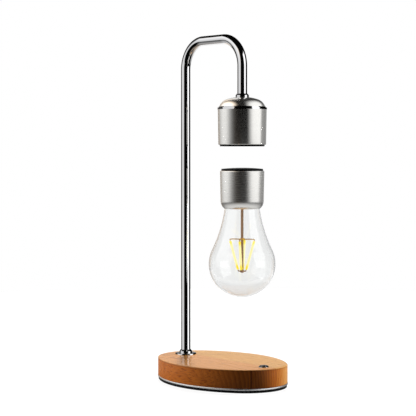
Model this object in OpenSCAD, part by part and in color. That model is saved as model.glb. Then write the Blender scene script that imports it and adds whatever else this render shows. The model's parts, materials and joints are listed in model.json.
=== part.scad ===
// Levitating lamp: an oval wooden base carries a bent chrome tube, the tube's drop end holds a magnet
// cup, and a light bulb floats in the air below the cup.
// Millimetres, +Z up. The origin lies under the middle of the base, on the surface that the lamp stands on.
// +X runs along the base, away from the post, and +Y points to the rear.

/* [Base] */
// Length of the oval base
base_l = 160; // [150:1:190]
// Width of the oval base
base_w = 112; // [104:1:130]
// Radius of the oval's round ends
base_end_r = 44; // [40:1:48]
// Thickness of the wood
wood_t = 19; // [18.5:0.5:26]
// Rounding of the wood's edges
wood_edge_r = 1; // [0.3:0.1:2]
// Wood left round the hollow under the base
hollow_wall = 11; // [9:0.5:14]
// Wood left over the hollow
hollow_roof = 6; // [4:0.5:6.5]
// Thickness of the metal plate under the wood
plate_t = 1.5; // [1.2:0.1:3]
// How far the plate stands out past the wood
plate_lip = 0.3; // [0:0.1:1]
// Thickness of the non-slip pad
pad_t = 2.8; // [1.5:0.1:5]
// How far the pad is set in from the wood's outline
pad_inset = 2; // [1:0.5:5]
// Rounding of the pad's lower edge
pad_edge_r = 1.2; // [0.2:0.1:1.4]
// Shank diameter of the screws that hold the plate
plate_screw_d = 3; // [2.5:0.1:4]
// Length of the screws that hold the plate
plate_screw_l = 12; // [8:0.5:14]

/* [Base contents] */
// Diameter of the ballast slug
ballast_d = 56; // [40:1:58]
// Thickness of the ballast slug
ballast_t = 6; // [3:0.5:9]
// Place of the ballast slug along the base
ballast_x = 18; // [14:1:22]
// Length of the control board, along the base
board_l = 32; // [24:1:34]
// Width of the control board
board_w = 50; // [36:1:56]
// Place of the control board along the base
board_x = -30; // [-32:1:-28]
// Thickness of every circuit board
board_t = 1.4; // [1:0.1:2]
// Height of the stand-offs under the control board
standoff_h = 4; // [2:0.5:6]
// Diameter of the stand-offs
standoff_d = 4.5; // [3:0.5:6]

/* [Power inlet] */
// Height of the inlet's axis above the metal plate
jack_h = 6.6; // [6.2:0.1:7]
// Outer diameter of the inlet's barrel
jack_d = 8; // [7.5:0.1:8.5]
// Diameter of the inlet's collar
jack_collar_d = 11; // [10.5:0.1:12]
// Thickness of the inlet's collar
jack_collar_t = 1.2; // [0.8:0.1:2]
// Diameter of the hole that takes the plug
jack_bore_d = 6.3; // [5.6:0.1:6.5]
// Depth of the hole that takes the plug
jack_bore_h = 9.5; // [8:0.5:12]
// Diameter of the centre pin
jack_pin_d = 2.1; // [1.5:0.1:2.5]

/* [Push switch] */
// Distance of the button from the front end of the base
button_inset = 15; // [14:0.5:20]
// Diameter of the bezel's collar
bezel_d = 10.4; // [9.6:0.1:13]
// Height of the bezel's collar over the wood
bezel_h = 1.3; // [0.8:0.1:2]
// Diameter of the bezel's threaded barrel
bezel_barrel_d = 9; // [8.6:0.1:9.4]
// Diameter of the button
button_d = 7.2; // [6:0.1:7.4]
// How far the button stands over the bezel
button_rise = 0.6; // [0.3:0.1:1.5]
// Travel of the button
button_travel = 1; // [0.5:0.1:1.4]
// Diameter of the button's stem
button_stem_d = 2.6; // [2:0.1:3.2]
// Wire of the button's spring
spring_wire = 0.5; // [0.3:0.1:0.6]
// Turns of the button's spring
spring_turns = 5; // [3:1:6]
// Height of the switch body under the bezel
switch_h = 5.5; // [4:0.5:6]

/* [Arm] */
// Outer diameter of the tube
tube_d = 10; // [9:0.5:11]
// Wall of the tube
tube_wall = 1; // [0.8:0.1:1.5]
// Distance of the post from the rear end of the base
post_inset = 21; // [20:0.5:26]
// Distance from the post to the drop end
reach = 91; // [80:1:100]
// Height of the arm's centre line above the wood
arm_h = 332.7; // [320:0.1:380]
// Radius of both bends, at the tube's centre line
bend_r = 29; // [20:1:38]
// Distance from the arm's centre line down to the top of the dome
drop_h = 60.2; // [55:0.1:80]
// Diameter of the wiring inside the tube
lead_d = 5; // [3:0.5:6]
// Diameter of the flange under the post
flange_d = 22.5; // [19:0.5:28]
// Thickness of the flange at its edge
flange_t = 1.2; // [0.8:0.1:2]
// Diameter of the collars where the tube leaves the flange and the dome
collar_d = 13.6; // [12.6:0.1:16]
// Height of the collars' straight part
collar_h = 2; // [1.5:0.1:4]
// Height of the collars' slope
collar_slope_h = 1.6; // [0.8:0.1:3]
// Width across the flats of the tube nuts
tube_nut_af = 14; // [13.5:0.5:15]
// Thickness of the tube nuts
tube_nut_t = 3; // [2:0.5:4]
// Thickness of the washers under the tube nuts
tube_washer_t = 1; // [0.6:0.1:1.5]

/* [Magnet cup] */
// Height of the dome
dome_h = 10; // [9:0.1:12]
// Radius of the dome's rim
dome_r = 23.5; // [23:0.1:24.5]
// Radius of the dome's crown
dome_crown_r = 51; // [44:1:70]
// Radius of the dome's shoulder
dome_shoulder_r = 12.4; // [10:0.1:14]
// Height of the ring between dome and cup
ring_h = 2.8; // [2.4:0.1:4]
// Radius of the ring's bead
ring_r = 25.25; // [25:0.05:26]
// Radius of the cup at its top
cup_top_r = 24.9; // [24.4:0.1:26]
// Radius of the cup at its foot
cup_foot_r = 24.35; // [24:0.05:25]
// Height of the cup
cup_h = 35.9; // [33:0.1:45]
// Rounding of the cup's lower edge
cup_edge_r = 1.3; // [0.6:0.1:1.4]
// Wall of the cup and the dome
cup_wall = 1.4; // [1:0.1:2]
// Radius of the black disc under the cup
face_r = 22.8; // [22.4:0.1:23]
// How far the black disc stands out of the cup
face_t = 1.7; // [1:0.1:3]
// Radius of the magnet coil
coil_r = 18.5; // [12:0.5:19.5]
// Height of the magnet coil
coil_h = 15.5; // [10:0.5:17]
// Radius of the iron core
core_r = 6; // [4:0.5:8]

/* [Floating bulb] */
// Gap between cup and bulb
float_gap = 21.8; // [12:0.1:30]
// Rise of the black lid over the cap's rim
lid_rise = 2.9; // [1.5:0.1:4]
// Radius of the black lid
lid_r = 21.3; // [20.8:0.1:21.4]
// Radius of the cap at its top
cap_top_r = 22.6; // [22.5:0.1:24]
// Radius of the cap where its rounded foot begins
cap_low_r = 22; // [21.5:0.1:22.5]
// Height of the cap
cap_h = 38.8; // [36:0.1:46]
// Rounding of the cap's upper edge
cap_rim_r = 1.2; // [0.6:0.1:1.3]
// Radius of the cap's rounded foot
cap_foot_r = 10; // [8:0.5:12]
// Wall of the cap
cap_wall = 1.8; // [1.5:0.1:2.2]
// Radius of the magnet in the cap
magnet_r = 13; // [9:0.5:13.5]
// Height of the magnet in the cap
magnet_h = 8; // [5:0.5:9]
// Height of the glass below the cap
glass_h = 90.6; // [85:0.1:110]
// Radius of the glass ball
glass_r = 34; // [31:0.5:38]
// Radius of the hollow curve from the ball to the neck
glass_neck_curve_r = 140; // [100:5:200]
// Least radius of the glass neck
glass_neck_r = 16.5; // [15:0.5:17.5]
// Wall of the glass
glass_wall = 1; // [0.8:0.1:1.5]
// How far the glass reaches up into the cap
glass_seat_h = 10; // [6:0.5:12]
// Diameter of the rod in the bulb
rod_d = 2.8; // [2:0.1:4]
// Height of the rod's end above the bottom of the glass
rod_end_h = 25; // [20:0.5:30]
// Height of the upper wire star above the bottom of the glass
spreader_h = 59.2; // [54:0.1:66]
// Reach of the upper wire star
spreader_r = 13; // [9:0.5:16]
// Height of the lower wire star above the rod's end
hub_rise = 1.6; // [1.2:0.1:3]
// Reach of the lower wire star
hub_r = 3.8; // [3.2:0.1:6]
// Turn of the wire stars about the bulb's axis
star_turn = 37; // [0:1:89]
// Wire of the stars
star_wire = 1.1; // [0.8:0.1:1.6]
// Diameter of a light filament
filament_d = 2; // [1.4:0.1:2.6]
// Bare wire above each filament
filament_top_lead = 2; // [1.5:0.1:4]
// Bare wire below each filament
filament_low_lead = 4.6; // [3:0.1:7]

/* [Fits] */
// Radial clearance of pieces that plug together
plug_gap = 0.1; // [0.05:0.01:0.2]
// Gap between faces that move past each other
run_gap = 0.3; // [0.2:0.05:0.5]
// Radial clearance of a running fit
pin_gap = 0.06; // [0.02:0.01:0.1]
// How far arcs that meet smoothly reach past each other
blend_gap = 0.02; // [0.01:0.01:0.05]

/* [Hidden] */
$fn = 96;

// How far a cutting shape reaches past the face that it opens
over = 1;
// How far a threaded end reaches past its nut
thread_end = 1;
// Metal of a thin nut between its bore and its flats
nut_land = 1.5;
// Room round the corners of a nut
nut_room = 0.5;

// Heights of the base
plate_z = pad_t;
wood_z = plate_z + plate_t;
wood_top = wood_z + wood_t;
roof_z = wood_top - hollow_roof;
hollow_h = roof_z - wood_z;

// The oval: two end arcs and two side arcs that meet them smoothly
half_l = base_l / 2;
half_w = base_w / 2;
end_c = half_l - base_end_r;
side_r = (end_c * end_c + half_w * half_w - base_end_r * base_end_r) / (2 * (half_w - base_end_r));
side_c = side_r - half_w;
end_turn = atan2(side_c, end_c);
edge_steps = 3;

// Places along the base
post_x = -half_l + post_inset;
cup_x = post_x + reach;
button_x = half_l - button_inset;

// Screws of the plate, in the middle of the wood round the hollow
screw_ring_r = base_end_r - hollow_wall / 2;
screw_x = end_c + screw_ring_r * cos(end_turn);
screw_y = screw_ring_r * sin(end_turn);
screw_head_d = 2 * plate_screw_d;
screw_head_h = plate_screw_d / 2;

// Control board
board_z = wood_z + standoff_h;
board_hole_x = board_l / 2 - standoff_d;
board_hole_y = board_w / 2 - standoff_d;
board_hole_d = standoff_d / 2;
standoff_pin_end = 0.6;

// Power inlet
jack_z = wood_z + jack_h;
jack_nut_t = 2;
jack_nut_af = jack_d + 2 * nut_land;
jack_face_y = half_w - run_gap;
jack_seat_y = jack_face_y - jack_collar_t;
jack_pin_set = 1;
jack_spot_t = 0.3;
jack_spot_w = jack_nut_af / cos(30) + 2 * nut_room;
hollow_y = half_w - hollow_wall;
jack_nut_y = hollow_y + jack_spot_t - jack_nut_t;
jack_back_y = jack_nut_y - thread_end;

// Push switch
bezel_nut_af = bezel_barrel_d + 2 * nut_land;
bezel_nut_t = 2.5;
bezel_foot_z = roof_z - bezel_nut_t - thread_end;
bezel_bore_d = button_d + 2 * run_gap;
switch_well_d = bezel_nut_af / cos(30) + 2 * nut_room;
button_top = wood_top + bezel_h + button_rise;
button_guide = 0.4;
button_head_h = bezel_h + button_rise + button_travel + button_guide;
button_head_z = button_top - button_head_h;
button_edge_r = 0.4;
stem_end_z = bezel_foot_z - switch_h / 2;
stem_play = 0.5;
spring_d = (button_stem_d + bezel_bore_d) / 2;

// Arm
arm_z = wood_top + arm_h;
tube_bore_d = tube_d - 2 * tube_wall;
tube_foot_z = roof_z - tube_washer_t - tube_nut_t - thread_end;
collar_lip = 0.4;
washer_lip = 0.15;
washer_d = tube_nut_af / cos(30) + 2 * washer_lip;
connector_size = [7, 10, 4];

// Magnet cup, from the top down
dome_top = arm_z - drop_h;
dome_z = dome_top - dome_h;
ring_z = dome_z - ring_h;
cup_z = ring_z - cup_h;
face_z = cup_z - face_t;

// The dome's crown arc is centred on the axis and its shoulder arc meets it smoothly
crown_c = [0, dome_top - dome_crown_r];
rim_v = [dome_r, dome_z] - crown_c;
rim_d = norm(rim_v);
crown_to_shoulder = dome_crown_r - dome_shoulder_r;
shoulder_a = (pow(crown_to_shoulder, 2) - pow(dome_shoulder_r, 2) + rim_d * rim_d) / (2 * rim_d);
shoulder_b = sqrt(pow(crown_to_shoulder, 2) - shoulder_a * shoulder_a);
shoulder_c = crown_c + (shoulder_a * rim_v + shoulder_b * [-rim_v[1], rim_v[0]]) / rim_d;
shoulder_turn = atan2(shoulder_c[1] - crown_c[1], shoulder_c[0]);

// Flat seats of the dome: outside for the collar, inside for the washer
seat_margin = 0.5;
washer_seat_r = washer_d / 2 + seat_margin;
collar_seat_z = crown_c[1] + sqrt(pow(dome_crown_r, 2) - pow(collar_d / 2, 2));
washer_seat_z = crown_c[1] + sqrt(pow(dome_crown_r - cup_wall, 2) - pow(washer_seat_r, 2));
drop_nut_z = washer_seat_z - tube_washer_t - tube_nut_t;
tube_end_z = drop_nut_z - thread_end;

// Ring between dome and cup
bead_h = 1.9;
bead_r = 0.9;
groove_step = 0.5;
groove_r = dome_r + groove_step;
spigot_h = 2;
spigot_wall = 2;
cup_bore_r = cup_foot_r - cup_wall;

// What the cup holds, stacked on the black disc
face_lip = 1.3;
face_bore_r = face_r - face_lip;
transmitter_z = cup_z + cup_wall;
transmitter_t = 2;
transmitter_inset = 1;
transmitter_r = face_bore_r - transmitter_inset;
transmitter_bore_r = 12;
hall_z = transmitter_z + transmitter_t;
sensor_size = [4, 3, 1.6];
bobbin_z = hall_z + board_t;
bobbin_flange_t = 1.5;
bobbin_flange_lip = 1;
bobbin_hub_wall = 1.5;
bobbin_rim_h = 4;
bobbin_h = coil_h + 2 * bobbin_flange_t;
bobbin_r = coil_r + bobbin_flange_lip;
core_rise = 1;
driver_z = bobbin_z + bobbin_h + bobbin_rim_h;
driver_r = bobbin_r;

// Floating bulb, from the top down
lid_top = face_z - float_gap;
cap_top = lid_top - lid_rise;
cap_z = cap_top - cap_h;
glass_z = cap_z - glass_h;
lid_plug_h = 1.5;
lid_ball_r = (lid_r * lid_r + lid_rise * lid_rise) / (2 * lid_rise);
lid_foot_z = cap_top - lid_plug_h;
boss_r = 2;
magnet_z = lid_foot_z - run_gap - magnet_h;
clip_t = 0.8;
clip_z = magnet_z - run_gap - clip_t;
clip_r = 4;
boss_end = 0.6;
boss_foot_z = clip_z - boss_end;
receiver_t = 3;
receiver_inset = 1.3;
receiver_r = lid_r - receiver_inset;
receiver_room = 0.8;
receiver_bore_r = magnet_r + receiver_room;

// The glass ball and the hollow curve that meets it smoothly
ball_c = [0, glass_z + glass_r];
neck_rise = sqrt(pow(glass_r + glass_neck_curve_r, 2) - pow(glass_neck_r + glass_neck_curve_r, 2));
neck_c = [glass_neck_r + glass_neck_curve_r, ball_c[1] + neck_rise];
glass_top = cap_z + glass_seat_h;

// The cap's foot arc ends on its mouth, which clears the glass
function glass_r_at(z) = neck_c[0] - sqrt(pow(glass_neck_curve_r, 2) - pow(neck_c[1] - z, 2));
cap_mouth_r = glass_r_at(cap_z) + plug_gap;
cap_foot_c = [
    cap_low_r - cap_foot_r,
    cap_z + sqrt(pow(cap_foot_r, 2) - pow(cap_mouth_r - cap_low_r + cap_foot_r, 2))
];

// Plug in the glass neck, with posts for the rectifier board
plug_flange_t = 3;
plug_flange_r = cap_low_r - cap_wall - plug_gap;
plug_spigot_h = 6;
plug_top = glass_top + plug_flange_t;
plug_post_d = 4;
plug_post_ring_r = plug_flange_r - plug_post_d;
rectifier_room = 0.5;
rectifier_z = boss_foot_z - board_t - rectifier_room;

// Wire stars and filaments
rod_end_z = glass_z + rod_end_h;
spreader_z = glass_z + spreader_h;
hub_z = rod_end_z + hub_rise;
filament_lean = atan2(spreader_r - hub_r, spreader_z - hub_z);
filament_run = norm([spreader_r - hub_r, spreader_z - hub_z]);
filament_l = filament_run - filament_top_lead - filament_low_lead;
star_hub_h = 2;
star_hub_wall = 0.9;
lead_wire = 0.7;
filament_count = 4;

// Colours
wood_tone = [0.86, 0.64, 0.40];
chrome_tone = [0.80, 0.81, 0.83];
nickel_tone = [0.70, 0.69, 0.66];
black_tone = [0.05, 0.05, 0.05];
steel_tone = [0.55, 0.56, 0.58];
board_tone = [0.10, 0.32, 0.18];
copper_tone = [0.72, 0.40, 0.20];
bronze_tone = [0.40, 0.27, 0.17];
gold_tone = [0.80, 0.62, 0.25];
filament_tone = [1.00, 0.93, 0.55];
nylon_tone = [0.88, 0.88, 0.84];

// Shared shapes

// Pie slice of a circle, between two directions less than half a turn apart
module sector(c, from, to, r) {
    mid = (from + to) / 2;
    intersection() {
        translate(c) circle(r);
        polygon([
            c,
            c + 2 * r * [cos(from), sin(from)],
            c + 2 * r * [cos(mid), sin(mid)],
            c + 2 * r * [cos(to), sin(to)]
        ]);
    }
}

// Half of a slab's upright section, out to radius r, with its outer corners rounded
module slab_section(r, h, low_r, top_r) {
    translate([0, low_r]) square([r, h - low_r - top_r]);
    square([r - low_r, h / 2]);
    translate([0, h / 2]) square([r - top_r, h / 2]);
    if (low_r > 0) translate([r - low_r, low_r]) circle(low_r);
    if (top_r > 0) translate([r - top_r, h - top_r]) circle(top_r);
}

// Points of a rounded corner in small steps, from one direction to the next
function corner_points(c, r, from) =
    r > 0
        ? [
            for (i = [0:edge_steps])
                let (turn = from + 90 * i / edge_steps)
                c + r * [cos(turn), sin(turn)]
        ]
        : [c];

// Round disc with its lower and upper edge rounded
module edged_disc(r, h, low_r, top_r) {
    rotate_extrude() polygon(concat(
        [[0, 0]],
        corner_points([r - low_r, low_r], low_r, -90),
        corner_points([r - top_r, h - top_r], top_r, 0),
        [[0, h]]
    ));
}

// Slab with the base's oval outline, set in from it all round: the part that two large discs share, and two
// end discs that meet it
module oval_slab(inset, z, h, low_r = 0, top_r = 0) {
    meet_x = end_c + (base_end_r - inset) * cos(end_turn);
    translate([0, 0, z]) {
        intersection() {
            translate([0, -side_c, 0]) edged_disc(side_r - inset, h, low_r, top_r);
            translate([0, side_c, 0]) edged_disc(side_r - inset, h, low_r, top_r);
            translate([-meet_x, -base_w, -over]) cube([2 * meet_x, 2 * base_w, h + 2 * over]);
        }
        for (x = [-end_c, end_c]) translate([x, 0, 0])
            edged_disc(base_end_r - inset + blend_gap, h, low_r, top_r);
    }
}

// Round ring or washer
module ring(outer_d, bore_d, h) {
    difference() {
        cylinder(d = outer_d, h = h);
        translate([0, 0, -over]) cylinder(d = bore_d, h = h + 2 * over);
    }
}

// Hexagon nut, its flats facing Y
module hex_nut(af, bore_d, h) {
    difference() {
        cylinder(d = af / cos(30), h = h, $fn = 6);
        translate([0, 0, -over]) cylinder(d = bore_d, h = h + 2 * over);
    }
}

// Places of the plate's screws
module at_plate_screws() {
    for (x = [-screw_x, screw_x], y = [-screw_y, screw_y]) translate([x, y, plate_z]) children();
}

// Places of the control board's stand-offs
module at_standoffs() {
    for (x = [-board_hole_x, board_hole_x], y = [-board_hole_y, board_hole_y])
        translate([board_x + x, y, wood_z]) children();
}

// Carries a round section along the arm, from the foot of the post to the end of the drop
module along_arm(foot_z, end_z) {
    bend_z = arm_z - bend_r;
    translate([post_x, 0, bend_z]) mirror([0, 0, 1]) linear_extrude(bend_z - foot_z) children();
    translate([post_x + bend_r, 0, bend_z]) rotate([90, 0, 0]) rotate(90) rotate_extrude(angle = 90)
        translate([bend_r, 0]) children();
    translate([post_x + bend_r, 0, arm_z]) rotate([0, 90, 0]) linear_extrude(reach - 2 * bend_r) children();
    translate([cup_x - bend_r, 0, bend_z]) rotate([90, 0, 0]) rotate_extrude(angle = 90)
        translate([bend_r, 0]) children();
    translate([cup_x, 0, bend_z]) mirror([0, 0, 1]) linear_extrude(bend_z - end_z) children();
}

// Collar round the tube: a straight part with a slope up to the tube
module collar_section() {
    tube_r = tube_d / 2 + plug_gap;
    collar_r = collar_d / 2;
    polygon([
        [tube_r, 0],
        [collar_r, 0],
        [collar_r, collar_h],
        [tube_r + collar_lip, collar_h + collar_slope_h],
        [tube_r, collar_h + collar_slope_h]
    ]);
}

// Base

module grip_pad() {
    color(black_tone) oval_slab(pad_inset, 0, pad_t, pad_edge_r, 0);
}

module plate_screw_shape(gap) {
    cylinder(d1 = screw_head_d + 2 * gap, d2 = plate_screw_d + 2 * gap, h = screw_head_h);
    cylinder(d = plate_screw_d + 2 * gap, h = plate_screw_l + gap);
}

module bottom_plate() {
    color(chrome_tone) difference() {
        oval_slab(-plate_lip, plate_z, plate_t, plate_t / 3, plate_t / 3);
        at_plate_screws() plate_screw_shape(plug_gap);
    }
}

module plate_screws() {
    color(steel_tone) at_plate_screws() plate_screw_shape(0);
}

module wood_base() {
    color(wood_tone) difference() {
        oval_slab(0, wood_z, wood_t, wood_edge_r / 2, wood_edge_r);
        oval_slab(hollow_wall, wood_z - over, hollow_h + over);
        translate([button_x, 0, wood_z - over]) cylinder(d = switch_well_d, h = hollow_h + over);
        translate([button_x, 0, roof_z - over])
            cylinder(d = bezel_barrel_d + 2 * plug_gap, h = hollow_roof + 2 * over);
        translate([post_x, 0, roof_z - over]) cylinder(d = tube_d + 2 * plug_gap, h = hollow_roof + 2 * over);
        at_plate_screws() plate_screw_shape(plug_gap);
        translate([-jack_spot_w / 2, jack_nut_y, wood_z - over])
            cube([jack_spot_w, jack_nut_t, hollow_h + over]);
        translate([0, 0, jack_z]) rotate([-90, 0, 0]) {
            cylinder(d = jack_d + 2 * plug_gap, h = half_w + over);
            translate([0, 0, jack_seat_y]) cylinder(d = jack_collar_d + 2 * plug_gap, h = hollow_wall);
        }
    }
}

module ballast() {
    color(steel_tone) translate([ballast_x, 0, wood_z]) cylinder(d = ballast_d, h = ballast_t);
}

// Hexagon stand-offs with a pin that goes through the board
module board_standoffs() {
    color(gold_tone) at_standoffs() {
        cylinder(d = standoff_d, h = standoff_h, $fn = 6);
        cylinder(d = board_hole_d - 2 * plug_gap, h = standoff_h + board_t + standoff_pin_end);
    }
}

module control_board() {
    color(board_tone) translate([board_x, 0, board_z]) difference() {
        translate([-board_l / 2, -board_w / 2, 0]) cube([board_l, board_w, board_t]);
        for (x = [-board_hole_x, board_hole_x], y = [-board_hole_y, board_hole_y])
            translate([x, y, -over]) cylinder(d = board_hole_d, h = board_t + 2 * over);
    }
}

module board_components() {
    chip = [8, 8, 1.2];
    choke = [7, 7, 3];
    can_d = 6;
    can_h = 4;
    can_pitch = 8;
    color(black_tone) translate([board_x, 0, board_z + board_t]) {
        translate([-chip[0] / 2, -chip[1], 0]) cube(chip);
        translate([-choke[0] / 2, choke[1] / 2, 0]) cube(choke);
        for (side = [-1, 1]) translate([side * can_pitch, 0, 0]) cylinder(d = can_d, h = can_h);
    }
}

// Power inlet in the rear side

module power_jack() {
    color(black_tone) translate([0, 0, jack_z]) rotate([-90, 0, 0]) {
        difference() {
            union() {
                translate([0, 0, jack_back_y]) cylinder(d = jack_d, h = jack_face_y - jack_back_y);
                translate([0, 0, jack_seat_y]) cylinder(d = jack_collar_d, h = jack_collar_t);
            }
            translate([0, 0, jack_face_y - jack_bore_h]) cylinder(d = jack_bore_d, h = jack_bore_h + over);
        }
        translate([0, 0, jack_face_y - jack_bore_h]) cylinder(d = jack_pin_d, h = jack_bore_h - jack_pin_set);
    }
}

module jack_nut() {
    color(chrome_tone) translate([0, jack_nut_y, jack_z]) rotate([-90, 0, 0])
        hex_nut(jack_nut_af, jack_d + 2 * plug_gap, jack_nut_t);
}

// Push switch

module button_bezel() {
    color(chrome_tone) translate([button_x, 0, 0]) rotate_extrude() difference() {
        union() {
            translate([0, wood_top]) slab_section(bezel_d / 2, bezel_h, 0, bezel_h / 2);
            translate([0, bezel_foot_z]) square([bezel_barrel_d / 2, wood_top - bezel_foot_z]);
        }
        translate([0, bezel_foot_z - over]) square([bezel_bore_d / 2, button_top - bezel_foot_z + over]);
    }
}

module bezel_nut() {
    color(chrome_tone) translate([button_x, 0, roof_z - bezel_nut_t])
        hex_nut(bezel_nut_af, bezel_barrel_d + 2 * plug_gap, bezel_nut_t);
}

module button_cap() {
    color(black_tone) translate([button_x, 0, 0]) {
        translate([0, 0, button_head_z]) rotate_extrude()
            slab_section(button_d / 2, button_head_h, 0, button_edge_r);
        translate([0, 0, stem_end_z]) cylinder(d = button_stem_d, h = button_head_z - stem_end_z);
    }
}

// Wire wound round the stem between the switch body and the button: rings of points along a helix
spring_sides = 6;
spring_rings = 8;
spring_r = spring_d / 2;
spring_low = bezel_foot_z + spring_wire / 2;
spring_high = button_head_z - spring_wire / 2;
spring_steps = spring_turns * spring_rings;
spring_pitch = (spring_high - spring_low) / spring_turns;
spring_slope = atan2(spring_pitch, 2 * PI * spring_r);

function spring_point(step, side) =
    let (
        turn = 360 * step / spring_rings,
        spin = 360 * side / spring_sides,
        out = spring_wire / 2 * cos(spin),
        up = spring_wire / 2 * sin(spin),
        z = spring_low + spring_pitch * step / spring_rings
    )
    [
        (spring_r + out) * cos(turn) + up * sin(spring_slope) * sin(turn),
        (spring_r + out) * sin(turn) - up * sin(spring_slope) * cos(turn),
        z + up * cos(spring_slope)
    ];

module button_spring() {
    points = [for (step = [0:spring_steps], side = [0:spring_sides - 1]) spring_point(step, side)];
    walls = [
        for (step = [0:spring_steps - 1], side = [0:spring_sides - 1], lower = [true, false])
            let (
                next = (side + 1) % spring_sides,
                a = step * spring_sides + side,
                b = step * spring_sides + next,
                c = a + spring_sides,
                d = b + spring_sides
            )
            lower ? [a, c, b] : [b, c, d]
    ];
    last = spring_steps * spring_sides;
    first_end = [for (side = [1:spring_sides - 2]) [0, side, side + 1]];
    last_end = [for (side = [1:spring_sides - 2]) [last, last + side + 1, last + side]];
    echo(least_spring_gap = spring_pitch - spring_wire);
    color(steel_tone) translate([button_x, 0, 0]) polyhedron(points, concat(walls, first_end, last_end));
}

module switch_body() {
    stem_room = button_travel + stem_play;
    color(black_tone) translate([button_x, 0, bezel_foot_z - switch_h]) difference() {
        cylinder(d = bezel_barrel_d, h = switch_h);
        translate([0, 0, switch_h / 2 - stem_room])
            cylinder(d = button_stem_d + 2 * pin_gap, h = switch_h);
    }
}

// Arm

module arm_tube() {
    color(chrome_tone) along_arm(tube_foot_z, tube_end_z) difference() {
        circle(d = tube_d);
        circle(d = tube_bore_d);
    }
}

module post_flange() {
    color(chrome_tone) translate([post_x, 0, wood_top]) rotate_extrude() difference() {
        union() {
            slab_section(flange_d / 2, flange_t, 0, flange_t / 2);
            translate([0, flange_t]) collar_section();
        }
        translate([0, -over]) square([tube_d / 2 + plug_gap, flange_t + 2 * over]);
    }
}

module post_washer() {
    color(steel_tone) translate([post_x, 0, roof_z - tube_washer_t])
        ring(washer_d, tube_d + 2 * plug_gap, tube_washer_t);
}

module post_nut() {
    color(steel_tone) translate([post_x, 0, roof_z - tube_washer_t - tube_nut_t])
        hex_nut(tube_nut_af, tube_d + 2 * plug_gap, tube_nut_t);
}

module arm_lead() {
    color(black_tone) along_arm(wood_z + connector_size[2], driver_z + board_t) circle(d = lead_d);
}

module lead_connector() {
    color(nylon_tone) translate([post_x - connector_size[0] / 2, -connector_size[1] / 2, wood_z])
        cube(connector_size);
}

// Magnet cup

module drop_collar() {
    color(chrome_tone) translate([cup_x, 0, collar_seat_z]) rotate_extrude() collar_section();
}

module drop_washer() {
    color(steel_tone) translate([cup_x, 0, washer_seat_z - tube_washer_t])
        ring(washer_d, tube_d + 2 * plug_gap, tube_washer_t);
}

module drop_nut() {
    color(steel_tone) translate([cup_x, 0, drop_nut_z])
        hex_nut(tube_nut_af, tube_d + 2 * plug_gap, tube_nut_t);
}

// Right half of the dome's upright section, set in from its outside
module dome_section(inset) {
    intersection() {
        union() {
            sector(crown_c, shoulder_turn, 90, dome_crown_r - inset);
            translate(shoulder_c) circle(dome_shoulder_r - inset + blend_gap);
        }
        translate([0, dome_z]) square([2 * dome_r, dome_h + over]);
    }
}

// The dome's middle is flat outside under the collar and inside over the washer
module dome_cover() {
    color(nickel_tone) translate([cup_x, 0, 0]) rotate_extrude() difference() {
        dome_section(0);
        intersection() {
            dome_section(cup_wall);
            translate([0, dome_z]) square([dome_r, washer_seat_z - dome_z]);
        }
        translate([0, collar_seat_z]) square([dome_r, dome_h]);
        translate([0, dome_z - over]) square([tube_d / 2 + plug_gap, dome_h + 2 * over]);
    }
}

module trim_ring() {
    dome_bore_r = dome_r - 2 * cup_wall;
    cup_spigot_r = cup_bore_r - plug_gap;
    dome_spigot_r = dome_bore_r - plug_gap;
    color(chrome_tone) translate([cup_x, 0, 0]) rotate_extrude() difference() {
        union() {
            translate([0, ring_z]) slab_section(ring_r, bead_h, bead_r, bead_r);
            translate([0, ring_z]) square([groove_r, ring_h]);
            translate([0, ring_z - spigot_h]) square([cup_spigot_r, spigot_h]);
            translate([0, dome_z]) square([dome_spigot_r, spigot_h]);
        }
        translate([0, ring_z - spigot_h - over])
            square([dome_spigot_r - spigot_wall, ring_h + 2 * spigot_h + 2 * over]);
    }
}

module cup_shell() {
    edge_z = cup_z + cup_edge_r;
    edge_c = cup_foot_r - cup_edge_r;
    color(nickel_tone) translate([cup_x, 0, 0]) rotate_extrude() difference() {
        union() {
            polygon([
                [0, cup_z],
                [edge_c, cup_z],
                [cup_foot_r, edge_z],
                [cup_top_r, ring_z],
                [0, ring_z]
            ]);
            translate([edge_c, edge_z]) circle(cup_edge_r);
        }
        translate([0, cup_z + cup_wall]) square([cup_bore_r, cup_h]);
        translate([0, cup_z - over]) square([face_bore_r, cup_h]);
    }
}

module face_disc() {
    color(black_tone) translate([cup_x, 0, 0]) rotate_extrude() {
        translate([0, face_z]) slab_section(face_r, face_t, face_t / 3, 0);
        translate([0, cup_z]) square([face_bore_r - plug_gap, cup_wall]);
    }
}

module transmitter_coil() {
    color(copper_tone) translate([cup_x, 0, transmitter_z])
        ring(2 * transmitter_r, 2 * transmitter_bore_r, transmitter_t);
}

module hall_board() {
    color(board_tone) translate([cup_x, 0, hall_z]) {
        cylinder(r = transmitter_r, h = board_t);
        translate([-sensor_size[0] / 2, -sensor_size[1] / 2, -sensor_size[2]]) cube(sensor_size);
    }
}

module coil_bobbin() {
    hub_r_out = core_r + plug_gap + bobbin_hub_wall;
    color(nylon_tone) translate([cup_x, 0, bobbin_z]) rotate_extrude() difference() {
        union() {
            square([bobbin_r, bobbin_flange_t]);
            square([hub_r_out, bobbin_h]);
            translate([0, bobbin_h - bobbin_flange_t]) square([bobbin_r, bobbin_flange_t]);
            translate([bobbin_r - bobbin_hub_wall, bobbin_h]) square([bobbin_hub_wall, bobbin_rim_h]);
        }
        translate([0, -over]) square([core_r + plug_gap, bobbin_h + 2 * over]);
    }
}

module magnet_coil() {
    hub_r_out = core_r + plug_gap + bobbin_hub_wall;
    color(copper_tone) translate([cup_x, 0, bobbin_z + bobbin_flange_t])
        ring(2 * coil_r, 2 * hub_r_out, coil_h);
}

module iron_core() {
    color(steel_tone) translate([cup_x, 0, bobbin_z]) cylinder(r = core_r, h = bobbin_h + core_rise);
}

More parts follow.
